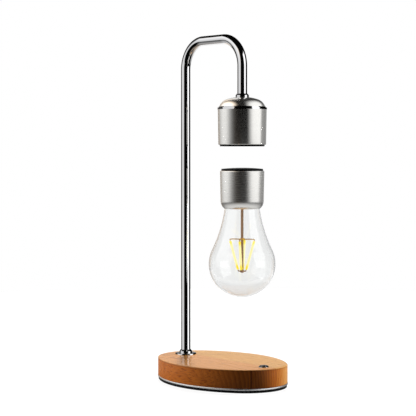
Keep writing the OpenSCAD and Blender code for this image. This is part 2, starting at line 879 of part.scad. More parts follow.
module driver_board() {
    color(board_tone) translate([cup_x, 0, driver_z]) cylinder(r = driver_r, h = board_t);
}

// Floating bulb

module cap_lid() {
    color(black_tone) translate([cup_x, 0, 0]) rotate_extrude() {
        intersection() {
            translate([0, lid_top - lid_ball_r]) circle(lid_ball_r);
            translate([0, cap_top]) square([lid_r, lid_rise + over]);
        }
        translate([0, lid_foot_z]) square([lid_r, lid_plug_h]);
        translate([0, boss_foot_z]) square([boss_r, lid_foot_z - boss_foot_z]);
    }
}

// Right half of the cap's upright section, set in from its outside
module cap_section(inset) {
    rim_r = cap_rim_r - min(inset, cap_rim_r);
    rim_c = cap_top - cap_rim_r;
    side_low = cap_low_r - inset;
    side_top = cap_top_r - inset;
    polygon([
        [0, cap_foot_c[1]],
        [side_low, cap_foot_c[1]],
        [side_top, rim_c],
        [side_top - rim_r, cap_top],
        [0, cap_top]
    ]);
    if (rim_r > 0) translate([side_top - rim_r, rim_c]) circle(rim_r);
    intersection() {
        union() {
            sector(cap_foot_c, -90, 0, cap_foot_r - inset);
            translate([0, cap_foot_c[1] - cap_foot_r + inset]) square([cap_foot_c[0], cap_foot_r - inset]);
        }
        translate([0, cap_z]) square([cap_low_r, cap_h]);
    }
}

module cap_shell() {
    color(nickel_tone) translate([cup_x, 0, 0]) rotate_extrude() difference() {
        cap_section(0);
        intersection() {
            cap_section(cap_wall);
            translate([0, cap_z]) square([cap_top_r, lid_foot_z - cap_z + over]);
        }
        translate([0, lid_foot_z]) square([lid_r + plug_gap, cap_h]);
        translate([0, cap_z - over]) square([cap_mouth_r, cap_h / 2]);
    }
}

module float_magnet() {
    color(steel_tone) translate([cup_x, 0, magnet_z]) ring(2 * magnet_r, 2 * (boss_r + pin_gap), magnet_h);
}

module magnet_clip() {
    color(steel_tone) translate([cup_x, 0, clip_z]) ring(2 * clip_r, 2 * (boss_r + plug_gap), clip_t);
}

module receiver_coil() {
    color(copper_tone) translate([cup_x, 0, lid_foot_z - receiver_t])
        ring(2 * receiver_r, 2 * receiver_bore_r, receiver_t);
}

module rectifier_board() {
    color(board_tone) translate([cup_x, 0, rectifier_z]) cylinder(r = plug_flange_r - plug_gap, h = board_t);
}

module stem_plug() {
    spigot_r = glass_r_at(glass_top - plug_spigot_h) - glass_wall - run_gap;
    spigot_top_r = glass_r_at(glass_top) - glass_wall - run_gap;
    color(nylon_tone) translate([cup_x, 0, 0]) {
        difference() {
            union() {
                translate([0, 0, glass_top]) cylinder(r = plug_flange_r, h = plug_flange_t);
                translate([0, 0, glass_top - plug_spigot_h])
                    cylinder(r = min(spigot_r, spigot_top_r), h = plug_spigot_h);
            }
            translate([0, 0, glass_top - plug_spigot_h - over])
                cylinder(d = rod_d + 2 * plug_gap, h = plug_spigot_h + plug_flange_t + 2 * over);
        }
        for (turn = [0:120:240]) rotate(turn) translate([plug_post_ring_r, 0, plug_top])
            cylinder(d = plug_post_d, h = rectifier_z - plug_top);
    }
}

module stem_rod() {
    color(bronze_tone) translate([cup_x, 0, rod_end_z]) cylinder(d = rod_d, h = plug_top - rod_end_z);
}

// Hub on the rod with one arm for each filament
module wire_star(z, arm_r) {
    star_hub_r = rod_d / 2 + plug_gap + star_hub_wall;
    translate([cup_x, 0, z]) {
        translate([0, 0, -star_hub_h / 2]) ring(2 * star_hub_r, rod_d + 2 * plug_gap, star_hub_h);
        for (arm = [1:filament_count]) rotate(star_turn + arm * 360 / filament_count)
            translate([star_hub_r - star_hub_wall / 2, 0, 0]) rotate([0, 90, 0])
                cylinder(d = star_wire, h = arm_r - star_hub_r + star_hub_wall / 2);
    }
}

// Carries a shape from the lower star's arm along the lean of one filament
module along_filament(arm) {
    translate([cup_x, 0, hub_z]) rotate(star_turn + arm * 360 / filament_count)
        translate([hub_r, 0, 0]) rotate([0, filament_lean, 0]) children();
}

module spreader_wire() {
    color(gold_tone) {
        wire_star(spreader_z, spreader_r + star_wire / 2);
        for (arm = [1:filament_count]) along_filament(arm)
            translate([0, 0, filament_run - filament_top_lead])
                cylinder(d = lead_wire, h = filament_top_lead);
    }
}

module lower_hub() {
    color(bronze_tone) {
        wire_star(hub_z, hub_r + star_wire / 2);
        for (arm = [1:filament_count]) along_filament(arm) cylinder(d = lead_wire, h = filament_low_lead);
    }
}

module filament(arm) {
    color(filament_tone) along_filament(arm) translate([0, 0, filament_low_lead])
        cylinder(d = filament_d, h = filament_l);
}

// Right half of the glass's upright section, set in from its outside
module glass_section(inset) {
    intersection() {
        union() {
            translate(ball_c) circle(glass_r - inset);
            difference() {
                polygon([ball_c, neck_c, [0, neck_c[1]]]);
                translate(neck_c) circle(glass_neck_curve_r + inset + blend_gap);
            }
        }
        translate([0, glass_z]) square([2 * glass_r, glass_top - glass_z]);
    }
}

module glass_bulb() {
    color([0.85, 0.90, 0.92, 0.35]) translate([cup_x, 0, 0]) rotate_extrude() difference() {
        glass_section(0);
        glass_section(glass_wall);
    }
}

grip_pad();
bottom_plate();
plate_screws();
wood_base();
ballast();
control_board();
board_components();
board_standoffs();
power_jack();
jack_nut();
button_bezel();
bezel_nut();
button_cap();
button_spring();
switch_body();
arm_tube();
post_flange();
post_washer();
post_nut();
arm_lead();
lead_connector();
drop_collar();
drop_washer();
drop_nut();
dome_cover();
trim_ring();
cup_shell();
face_disc();
transmitter_coil();
hall_board();
coil_bobbin();
magnet_coil();
iron_core();
driver_board();
cap_lid();
cap_shell();
float_magnet();
magnet_clip();
receiver_coil();
rectifier_board();
stem_plug();
stem_rod();
spreader_wire();
filament(1);  // filament_1
filament(2);  // filament_2
filament(3);  // filament_3
filament(4);  // filament_4
lower_hub();
glass_bulb();
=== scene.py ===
"""Looks of the levitating lamp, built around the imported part.

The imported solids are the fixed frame. Each sub-assembly is a class that builds
the pieces a viewer sees, dresses them and hangs them on a body of the frame.
Solids hidden inside the lamp keep their CAD meshes and only take a finish.
All lengths are in metres, and Z is up.
"""

import json
import logging
import math
from collections.abc import Iterable, Sequence
from dataclasses import dataclass, field
from enum import Enum

import bmesh
import bpy
from bpy.types import ID, Material, Node, NodeSocket, NodeTree, Object
from mathutils import Matrix, Vector


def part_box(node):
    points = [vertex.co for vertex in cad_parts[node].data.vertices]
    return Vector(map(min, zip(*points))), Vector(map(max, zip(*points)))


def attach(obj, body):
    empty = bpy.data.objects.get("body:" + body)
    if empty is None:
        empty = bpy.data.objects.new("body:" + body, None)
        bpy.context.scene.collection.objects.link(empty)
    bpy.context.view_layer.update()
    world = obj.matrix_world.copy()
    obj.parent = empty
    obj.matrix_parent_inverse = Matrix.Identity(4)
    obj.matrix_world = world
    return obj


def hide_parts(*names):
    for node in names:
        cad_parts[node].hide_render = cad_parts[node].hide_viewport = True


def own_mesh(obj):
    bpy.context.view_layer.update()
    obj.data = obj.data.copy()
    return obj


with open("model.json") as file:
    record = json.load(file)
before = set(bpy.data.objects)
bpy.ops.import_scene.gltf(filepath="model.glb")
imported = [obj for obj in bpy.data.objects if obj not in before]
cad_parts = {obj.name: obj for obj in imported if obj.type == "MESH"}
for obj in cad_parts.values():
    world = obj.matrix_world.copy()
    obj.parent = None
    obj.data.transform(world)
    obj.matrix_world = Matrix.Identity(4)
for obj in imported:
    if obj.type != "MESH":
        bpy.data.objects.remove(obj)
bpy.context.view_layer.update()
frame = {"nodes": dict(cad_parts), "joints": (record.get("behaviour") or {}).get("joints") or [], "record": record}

log = logging.getLogger("levitating_lamp")

Point = tuple[float, float]
Triple = tuple[float, float, float]
Colour = Triple

QUARTER_TURN = math.pi / 2
HALF_TURN = math.pi
FULL_TURN = 2 * math.pi
WHITE = (1.0, 1.0, 1.0)
# the clearance between two pieces that fit together
FIT = 0.0001
# the rounding of a thin edge as a share of its thickness
THIN_EDGE = 1 / 3
# a radius below this one lies on the axis
ON_AXIS = 1e-7
# the angle in degrees above which an edge stays sharp
CREASE = 32.0


class Body(Enum):
    """The bodies of the frame that pieces ride on."""

    STAND = "stand"
    BULB = "bulb"
    BUTTON = "button"


class Slot(Enum):
    """The record's material slots."""

    RUBBER = "rubber_pad"
    PLATE = "plate_steel"
    WOOD = "wood"
    ZINC = "zinc_steel"
    IRON = "raw_iron"
    BOARD = "circuit_board"
    PLASTIC = "black_plastic"
    BRASS = "standoff_brass"
    CHROME = "chrome"
    NICKEL = "satin_nickel"
    DISC = "black_disc"
    COPPER = "copper_winding"
    NYLON = "nylon"
    MAGNET = "magnet_plating"
    BRONZE = "bronze_rod"
    GOLD = "gold_wire"
    FILAMENT = "filament"
    GLASS = "clear_glass"


class Socket(Enum):
    """The kinds of socket on a node group."""

    FLOAT = "NodeSocketFloat"
    INTEGER = "NodeSocketInt"
    VECTOR = "NodeSocketVector"
    MATERIAL = "NodeSocketMaterial"
    GEOMETRY = "NodeSocketGeometry"


class Graph:
    """A node tree that is written a node at a time."""

    def __init__(self, tree: NodeTree) -> None:
        """Takes over a tree and empties it."""
        self.tree = tree
        self.tree.nodes.clear()

    def feed(self, socket: NodeSocket, value: object) -> None:
        """Links a socket or a signal to an input, or sets the input's own value.

        Args:
            socket: the input.
            value: a socket, a signal or a plain value.
        """
        source = value.socket if isinstance(value, Signal) else value
        if isinstance(source, NodeSocket):
            self.tree.links.new(source, socket)
        else:
            socket.default_value = source

    def fill(self, node: Node, inputs: dict) -> None:
        """Feeds some of a node's inputs, by name or number."""
        for name, value in inputs.items():
            self.feed(node.inputs[name], value)

    def node(self, kind: str, inputs: dict | None = None, **settings: object) -> Node:
        """Adds a node.

        Args:
            kind: Blender's name of the node's type.
            inputs: values, sockets or signals for its inputs, by name or number.
            settings: the node's own properties.

        Returns:
            The new node.
        """
        made = self.tree.nodes.new(kind)
        for name, value in settings.items():
            setattr(made, name, value)
        self.fill(made, inputs or {})
        return made

    def signal(self, kind: str, output: str, inputs: dict | None = None, **settings: object) -> "Signal":
        """Adds a node and gives one of its outputs as a signal."""
        return Signal(self, self.node(kind, inputs, **settings).outputs[output])

    def place(self) -> NodeSocket:
        """The shaded point in the object's own coordinates."""
        return self.node("ShaderNodeTexCoord").outputs["Object"]

    def parts(self, vector: NodeSocket) -> "tuple[Signal, Signal, Signal]":
        """The three parts of a vector as signals."""
        split = self.node("ShaderNodeSeparateXYZ", {"Vector": vector})
        return tuple(Signal(self, split.outputs[name]) for name in "XYZ")

    def stretched(self, vector: NodeSocket, scale: Triple, **more: object) -> NodeSocket:
        """Squeezes a pattern's coordinates along each axis."""
        return self.node("ShaderNodeMapping", {"Vector": vector, "Scale": scale, **more}).outputs["Vector"]

    def noise(self, vector: NodeSocket, scale: object, detail: float, rough: float = 0.5) -> "Signal":
        """Adds a noise texture and gives its value as a signal."""
        return self.signal("ShaderNodeTexNoise", "Fac", {
            "Vector": vector, "Scale": scale, "Detail": detail, "Roughness": rough})

    def blend(self, factor: object, first: object, second: object, kind: str = "MIX") -> NodeSocket:
        """Mixes two colours.

        Args:
            factor: the share of the second colour.
            first: a colour or a colour socket.
            second: a colour or a colour socket.
            kind: Blender's name of the way of mixing.

        Returns:
            The mixed colour's socket.
        """
        mix = self.node("ShaderNodeMix", data_type="RGBA", blend_type=kind)
        sockets = {socket.identifier: socket for socket in mix.inputs}
        self.feed(sockets["Factor_Float"], factor)
        for name, value in (("A_Color", first), ("B_Color", second)):
            self.feed(sockets[name], (*value, 1.0) if isinstance(value, tuple) else value)
        return next(socket for socket in mix.outputs if socket.identifier == "Result_Color")


class Signal:
    """A value in a node tree, with which sums are written."""

    def __init__(self, graph: Graph, socket: NodeSocket) -> None:
        """Names a socket of the graph's tree."""
        self.graph = graph
        self.socket = socket

    def calc(self, operation: str, *others: "Signal | float") -> "Signal":
        """Adds a Math node that starts with this value.

        Args:
            operation: Blender's name of the operation.
            others: its other values.

        Returns:
            The operation's result.
        """
        node = self.graph.node("ShaderNodeMath", operation=operation)
        for slot, term in zip(node.inputs, (self, *others)):
            self.graph.feed(slot, term)
        return Signal(self.graph, node.outputs["Value"])

    def __add__(self, other: "Signal | float") -> "Signal":
        """The sum of two values."""
        return self.calc("ADD", other)

    def __sub__(self, other: "Signal | float") -> "Signal":
        """The difference of two values."""
        return self.calc("SUBTRACT", other)

    def __mul__(self, other: "Signal | float") -> "Signal":
        """The product of two values."""
        return self.calc("MULTIPLY", other)

    def over(self, other: "Signal | NodeSocket") -> "Signal":
        """This value divided by another."""
        return self.calc("DIVIDE", other)

    def size(self) -> "Signal":
        """The value without its sign."""
        return self.calc("ABSOLUTE")

    def most(self, other: "Signal | NodeSocket | float") -> "Signal":
        """The greater of two values."""
        return self.calc("MAXIMUM", other)

    def rest(self, whole: float = 1.0) -> "Signal":
        """What is left of a whole without this value."""
        return self.calc("MULTIPLY_ADD", -1.0, whole)

    def between(self, first: "Signal", second: "Signal") -> "Signal":
        """This share of the first value and the rest of the second."""
        return first * self + second * self.rest()

    def rise(self, low: float, high: float, to_low: float = 0.0, to_high: float = 1.0) -> "Signal":
        """A soft step between two values.

        Args:
            low: where the step begins.
            high: where it ends.
            to_low: the result at its beginning.
            to_high: the result at its end.

        Returns:
            The stepped value.
        """
        spans = {"Value": self, "From Min": low, "From Max": high, "To Min": to_low, "To Max": to_high}
        return self.graph.signal("ShaderNodeMapRange", "Result", spans, interpolation_type="SMOOTHSTEP")

    def fall(self, low: float, high: float) -> "Signal":
        """A soft step down from 1 to 0."""
        return self.rise(low, high, 1.0, 0.0)

    def spread(self, least: float, most: float) -> "Signal":
        """A share between 0 and 1 carried over to other bounds."""
        return self.rise(0.0, 1.0, least, most)


def shader_group(name: str, inputs: dict[str, float], outputs: Sequence[str]) -> tuple[Graph, dict, dict]:
    """Starts a shader node group whose first input is a vector.

    Args:
        name: the group's name.
        inputs: its other inputs, each with its default value.
        outputs: the names of its outputs.

    Returns:
        The group's graph, its input sockets and its output sockets by name.
    """
    tree = bpy.data.node_groups.new(name, "ShaderNodeTree")
    tree.interface.new_socket("Vector", in_out="INPUT", socket_type=Socket.VECTOR.value)
    for title, value in inputs.items():
        made = tree.interface.new_socket(title, in_out="INPUT", socket_type=Socket.FLOAT.value)
        made.default_value = value
    for title in outputs:
        tree.interface.new_socket(title, in_out="OUTPUT", socket_type=Socket.FLOAT.value)
    graph = Graph(tree)
    entry = graph.node("NodeGroupInput")
    leave = graph.node("NodeGroupOutput")
    return graph, {s.name: s for s in entry.outputs if s.name}, {s.name: s for s in leave.inputs if s.name}


@dataclass(frozen=True)
class Mottle:
    """Broad patches and a fine relief, for handled and machined surfaces."""

    patch_scale: float = 40.0  # usual scale of the patches
    relief_scale: float = 900.0  # usual scale of the relief
    patch_detail: float = 4.0  # how far the patches break up
    patch_rough: float = 0.6  # how strong their finest parts are
    patch_step: Point = (0.3, 0.7)  # noise values between which a patch begins
    relief_detail: float = 2.0  # how far the relief breaks up

    def group(self) -> NodeTree:
        """Builds the node group.

        Returns:
            The group's tree.
        """
        scales = {"Patch Scale": self.patch_scale, "Relief Scale": self.relief_scale}
        graph, given, result = shader_group("surface_mottle", scales, ("Patch", "Relief"))
        patch = graph.noise(given["Vector"], given["Patch Scale"], self.patch_detail, self.patch_rough)
        graph.feed(result["Patch"], patch.rise(*self.patch_step))
        graph.feed(result["Relief"], graph.noise(given["Vector"], given["Relief Scale"], self.relief_detail))
        return graph.tree


@dataclass(frozen=True)
class WoodFigure:
    """The figure of wood glued up from boards that run along X."""

    # parts of the figure, in the node group's order
    outputs: tuple[str, ...] = ("Rings", "Streaks", "Pores", "Far", "Seam")
    board: float = 0.0275  # width of a board
    first_seam: float = 0.0035  # place along Y of the seam before the far boards
    seam: float = 0.0006  # half a seam's width
    dark_seam: float = -1.0  # number of the dark seam, counted from the first one
    near_seam: Point = (0.4, 0.6)  # distances from it, in boards, between which seams turn faint
    faint: float = 0.15  # what a faint seam keeps
    seed: float = 5.0  # picks each board's chances
    grain: Triple = (3.0, 26.0, 26.0)  # how often the grain wanders along each axis
    grain_detail: float = 3.0  # how far it breaks up
    grain_shift: Point = (7.0, 5.0)  # how far chance shifts the grain along X and Y
    wander: float = 0.011  # how far the rings wander with it
    ring: float = 0.0027  # width of a year ring
    ring_rise: Point = (0.0, 0.75)  # shares of a ring over which it darkens
    ring_fall: Point = (0.8, 1.0)  # shares of a ring over which it ends
    heart_aside: Point = (0.07, 0.12)  # bounds of the heart's distance beside a board
    heart_depth: Point = (-0.002, 0.006)  # bounds of its depth below the lamp's foot
    fibre: Triple = (14.0, 420.0, 110.0)  # how fine the streaks are along each axis
    streak_detail: float = 3.0  # how far they break up
    streak_step: Point = (0.3, 0.7)  # noise values between which a streak begins
    vessel: Triple = (120.0, 1100.0, 1200.0)  # how fine the pores are along each axis
    pore_detail: float = 2.0  # how far they break up
    vessel_tilt: float = 0.12  # slope of the pores in radians
    pore_step: Point = (0.5, 0.7)  # noise values between which a pore begins
    rough: float = 0.6  # how strong the finest streaks and pores are

    def group(self) -> NodeTree:
        """Builds the node group.

        Returns:
            The group's tree.
        """
        widths = {"Board Width": self.board, "Ring Width": self.ring, "Seam Width": self.seam}
        graph, given, result = shader_group("wood_figure", widths, self.outputs)
        vector = given["Vector"]
        across, height = graph.parts(vector)[1:]
        across = across - self.first_seam
        place = across.over(given["Board Width"])
        number = place.calc("FLOOR")
        beside = across - number.calc("MULTIPLY", given["Board Width"])
        rings = self.rings(graph, vector, number, beside, height, given["Ring Width"])
        streaks = graph.noise(graph.stretched(vector, self.fibre), 1.0, self.streak_detail, self.rough)
        vessel = graph.stretched(vector, self.vessel, Rotation=(0.0, self.vessel_tilt, 0.0))
        pores = graph.noise(vessel, 1.0, self.pore_detail, self.rough)
        half_board = 0.5
        from_seam = (place - number - half_board).size().rest(half_board)
        from_seam = from_seam.calc("MULTIPLY", given["Board Width"])
        marked = (place - self.dark_seam).size().rise(*self.near_seam, 1.0, self.faint)
        seam = from_seam.calc("LESS_THAN", given["Seam Width"]) * marked
        figure = (rings, streaks.rise(*self.streak_step), pores.rise(*self.pore_step),
                  place.calc("GREATER_THAN", 0.0), seam)
        for name, value in zip(self.outputs, figure):
            graph.feed(result[name], value)
        return graph.tree

    def rings(self, graph: Graph, vector: NodeSocket, number: Signal, beside: Signal, height: Signal,
              width: NodeSocket) -> Signal:
        """The year rings round each board's heart.

        Args:
            graph: the group's graph.
            vector: the shaded point.
            number: the board's number.
            beside: the point's distance from the board's near seam.
            height: the point's height.
            width: the width of a ring.

        Returns:
            How dark the ring is at the point.
        """
        chance = graph.node("ShaderNodeTexWhiteNoise", {"W": number + self.seed}, noise_dimensions="1D")
        first = Signal(graph, chance.outputs["Value"])
        second = graph.signal("ShaderNodeSeparateColor", "Green", {"Color": chance.outputs["Color"]})
        along_x, along_y = self.grain_shift
        shift = graph.node("ShaderNodeCombineXYZ", {"X": first * along_x, "Y": second * along_y})
        grain = graph.stretched(vector, self.grain, Location=shift.outputs["Vector"])
        wander = graph.noise(grain, 1.0, self.grain_detail) * self.wander
        aside = beside + second.spread(*self.heart_aside)
        depth = height + first.spread(*self.heart_depth)
        turns = ((aside * aside + depth * depth).calc("SQRT") + wander).over(width).calc("FRACT")
        return turns.rise(*self.ring_rise) * turns.fall(*self.ring_fall)


class Effects:
    """The node groups that finishes share, each built once."""

    def __init__(self) -> None:
        """Builds the groups."""
        self.mottle = Mottle().group()
        self.figure = WoodFigure().group()


@dataclass(frozen=True)
class Finish:
    """A mottled surface with a fine relief, the plain kind of finish."""

    shade: Colour  # main colour
    second: Colour  # colour of its patches
    metallic: float = 0.0  # 1 for bare metal
    roughness: Point = (0.4, 0.55)  # least and most roughness
    patch_scale: float = 40.0  # scale of the patches
    relief_scale: float = 900.0  # scale of the fine relief
    relief: float = 0.00004  # depth of the relief
    stretch: Triple = (1.0, 1.0, 1.0)  # how the pattern is squeezed along each axis
    specular: float = 0.5  # gloss of a surface that isn't metal

    def material(self, name: str, effects: Effects) -> Material:
        """Builds the finish's material.

        Args:
            name: the material's name.
            effects: the node groups that finishes share.

        Returns:
            The material.
        """
        made = bpy.data.materials.new(name)
        made.use_nodes = True
        graph = Graph(made.node_tree)
        surface = graph.node("ShaderNodeBsdfPrincipled")
        output = graph.node("ShaderNodeOutputMaterial", {"Surface": surface.outputs["BSDF"]})
        output.is_active_output = True
        self.dress(graph, surface, effects)
        made.diffuse_color = (*self.shade, 1.0)
        return made

    def dress(self, graph: Graph, surface: Node, effects: Effects) -> None:
        """Feeds the surface's colour, roughness and relief.

        Args:
            graph: the material's graph.
            surface: the shader that is fed.
            effects: the node groups that finishes share.
        """
        patch = self.colour(graph, surface, effects)
        graph.fill(surface, {"Roughness": self.rough(graph, patch), "Metallic": self.metallic,
                             "Specular IOR Level": self.specular})

    def colour(self, graph: Graph, surface: Node, effects: Effects) -> Signal:
        """Feeds the mottled colour and its relief.

        Args:
            graph: the material's graph.
            surface: the shader that is fed.
            effects: the node groups that finishes share.

        Returns:
            The patches.
        """
        group = graph.node("ShaderNodeGroup", {
            "Vector": graph.stretched(graph.place(), self.stretch), "Patch Scale": self.patch_scale,
            "Relief Scale": self.relief_scale}, node_tree=effects.mottle)
        patch = Signal(graph, group.outputs["Patch"])
        graph.feed(surface.inputs["Base Color"], graph.blend(patch, self.shade, self.second))
        self.emboss(graph, surface, Signal(graph, group.outputs["Relief"]))
        return patch

    def emboss(self, graph: Graph, surface: Node, height: Signal) -> None:
        """Gives the surface a relief."""
        bump = graph.node("ShaderNodeBump", {"Height": height, "Distance": self.relief})
        graph.feed(surface.inputs["Normal"], bump.outputs["Normal"])

    def rough(self, graph: Graph, patch: Signal) -> Signal:
        """The roughness from patch to patch."""
        return patch.spread(*self.roughness)


@dataclass(frozen=True)
class MetalFinish(Finish):
    """Bare metal."""

    metallic: float = 1.0


@dataclass(frozen=True)
class SatinFinish(MetalFinish):
    """Satin metal, brushed a little coarser up to a height."""

    coarse_top: float = 0.0  # height up to which the brushing is coarser
    coarser: float = 0.0  # roughness that it adds
    blend: float = 0.001  # height over which the two meet

    def rough(self, graph: Graph, patch: Signal) -> Signal:
        """Adds the coarser brushing to the plain roughness.

        Args:
            graph: the material's graph.
            patch: the patches.

        Returns:
            The roughness.
        """
        height = graph.parts(graph.place())[2]
        added = height.rise(self.coarse_top, self.coarse_top + self.blend, self.coarser, 0.0)
        return super().rough(graph, patch) + added


@dataclass(frozen=True)
class WoodFinish(Finish):
    """Lacquered wood glued up from boards, its side stained deeper than its top.

    Shares of two or three numbers hold the strength on the top, what the side
    adds and what the ends add.
    """

    late: Colour = (0.47, 0.18, 0.05)  # colour of the dark part of a year ring
    pore: Colour = (0.24, 0.085, 0.03)  # colour of pores, seams, the vein and the painted shade lines along the side's edges
    pale: Colour = (0.69, 0.385, 0.11)  # colour of the far boards
    stain: Colour = (0.95, 0.61, 0.33)  # what the side's stain leaves of the colour
    top: float = 0.0233  # height of the wood's upper face
    low: float = 0.005  # height of its lower face
    side_depth: Point = (0.0012, 0.0004)  # depths below the top between which the side begins
    ends: Point = (0.036, 0.069)  # distances along X between which the ends begin
    ring_shares: Triple = (0.4, 0.05, 0.45)  # how strong the rings are
    streak_share: float = 0.3  # how strong the streaks are
    pore_shares: Point = (0.4, 0.45)  # how strong the pores are
    seam_shares: Point = (0.1, 0.85)  # how strong the seams are
    vein_place: float = 0.0296  # how far before the middle the dark vein lies
    vein_start: Point = (-0.054, -0.045)  # places along X between which it begins
    vein_end: Point = (-0.03, -0.02)  # places along X between which it ends
    vein_width: Point = (0.0004, 0.0016)  # distances from its line between which it fades
    vein_wander: float = 0.0008  # how far the streaks bend it
    vein_share: float = 0.9  # how strong it is
    top_shade_line: Point = (0.0024, 0.001)  # depths below the top between which the painted shade line under the side's upper edge begins
    foot_shade_line: Point = (0.0003, 0.0011)  # heights above the foot between which the painted shade line along the side's lower edge ends
    shade_line_share: float = 0.45  # how strong both painted shade lines are
    lit_end_along: Point = (0.05, 0.062)  # places along X between which the painted light on the +X end begins
    lit_end_across: Point = (0.0, 0.028)  # places along Y between which that painted light begins
    lit_end_stain: float = 0.1  # what is left of the stain under that painted light
    relief_shares: Triple = (-0.3, 0.4, -1.5)  # relief of pores, streaks and seams
    coat: float = 0.45  # weight of the top's clear coat
    side_coat: float = 0.0225  # weight of the side's clear coat
    coat_roughness: float = 0.12  # roughness of the coat

    def dress(self, graph: Graph, surface: Node, effects: Effects) -> None:
        """Feeds the wood's figure, its stain with painted light on the +X end, painted shade along the side's
        edges, and its lacquer to the surface.

        Args:
            graph: the material's graph.
            surface: the shader that is fed.
            effects: the node groups that finishes share.
        """
        place = graph.place()
        group = graph.node("ShaderNodeGroup", {"Vector": place}, node_tree=effects.figure)
        rings, streaks, pores, far, seam = (Signal(graph, group.outputs[name]) for name in WoodFigure.outputs)
        along, across, height = graph.parts(place)
        side = height.fall(*(self.top - depth for depth in self.side_depth))
        ends = along.size().rise(*self.ends) * side
        pores = pores * ends.rest()
        ring_top, ring_side, ring_end = self.ring_shares
        pore_top, pore_side = self.pore_shares
        seam_top, seam_side = self.seam_shares
        layers = (
            (rings * (ends * ring_end + side * ring_side + ring_top), self.late),
            (streaks * self.streak_share, self.second),
            (pores * (side * pore_side + pore_top), self.pore),
            (seam * (side * seam_side + seam_top), self.pore),
            (self.vein(along, across, streaks) * self.vein_share, self.pore),
            # painted shade: dark lines under the side's upper edge and above its foot
            (self.edge_shade(height, side) * self.shade_line_share, self.pore),
        )
        colour = graph.blend(far, self.shade, self.pale)
        for share, tint in layers:
            colour = graph.blend(share, colour, tint)
        # painted light: the side's stain thins out on the far side of the +X end, so that end looks lit by the
        # right lamp
        lit_end = across.rise(*self.lit_end_across) * along.rise(*self.lit_end_along)
        stained = graph.blend(side * lit_end.spread(1.0, self.lit_end_stain), colour, self.stain, "MULTIPLY")
        pore_relief, streak_relief, seam_relief = self.relief_shares
        self.emboss(graph, surface, pores * pore_relief + streaks * streak_relief + seam * seam_relief)
        graph.fill(surface, {
            "Base Color": stained, "Roughness": self.rough(graph, streaks),
            "Specular IOR Level": self.specular, "Coat Roughness": self.coat_roughness,
            "Coat Weight": side.spread(self.coat, self.side_coat)})

    def vein(self, along: Signal, across: Signal, streaks: Signal) -> Signal:
        """The dark vein on the near board."""
        line = (across + streaks * self.vein_wander + self.vein_place).size().fall(*self.vein_width)
        return line * along.rise(*self.vein_start) * along.fall(*self.vein_end)

    def edge_shade(self, height: Signal, side: Signal) -> Signal:
        """Painted shade: dark lines along the side's upper and lower edges."""
        upper = height.rise(*(self.top - depth for depth in self.top_shade_line)) * side
        return upper.most(height.fall(*(self.low + rise for rise in self.foot_shade_line)))


@dataclass(frozen=True)
class GlassFinish(Finish):
    """Clear blown glass, with the faint waves that blowing leaves."""

    bending: float = 1.45  # index of refraction

    def dress(self, graph: Graph, surface: Node, effects: Effects) -> None:
        """Feeds the glass's tint and its waves."""
        self.colour(graph, surface, effects)
        graph.fill(surface, {"Roughness": self.roughness[0], "Transmission Weight": 1.0, "IOR": self.bending})


@dataclass(frozen=True)
class GlowFinish(Finish):
    """The lit phosphor of the filaments, deeper in colour at both ends."""

    low: float = 0.0  # height of the filaments' lower end
    high: float = 1.0  # height of their upper end
    tip: float = 0.0015  # how far below the upper end the deep colour is full
    fade: float = 0.0045  # how far the ends' colour reaches
    glow: Colour = (1.0, 0.95, 0.47)  # light in the middle
    end_glow: Colour = (1.0, 0.8, 0.02)  # light at the ends
    strength: float = 0.95  # how bright the light is

    def dress(self, graph: Graph, surface: Node, effects: Effects) -> None:
        """Feeds the light of the filaments along their height.

        Args:
            graph: the material's graph.
            surface: the shader that is fed.
            effects: the node groups that finishes share.
        """
        self.colour(graph, surface, effects)
        height = graph.parts(graph.place())[2]
        top = self.high - self.tip
        inside = height.rise(self.low, self.low + self.fade) * height.fall(top - self.fade, top)
        graph.fill(surface, {
            "Emission Color": graph.blend(inside, self.end_glow, self.glow),
            "Emission Strength": self.strength, "Roughness": self.roughness[1]})


def grey(tone: float) -> Colour:
    """A colour without hue."""
    return (tone, tone, tone)


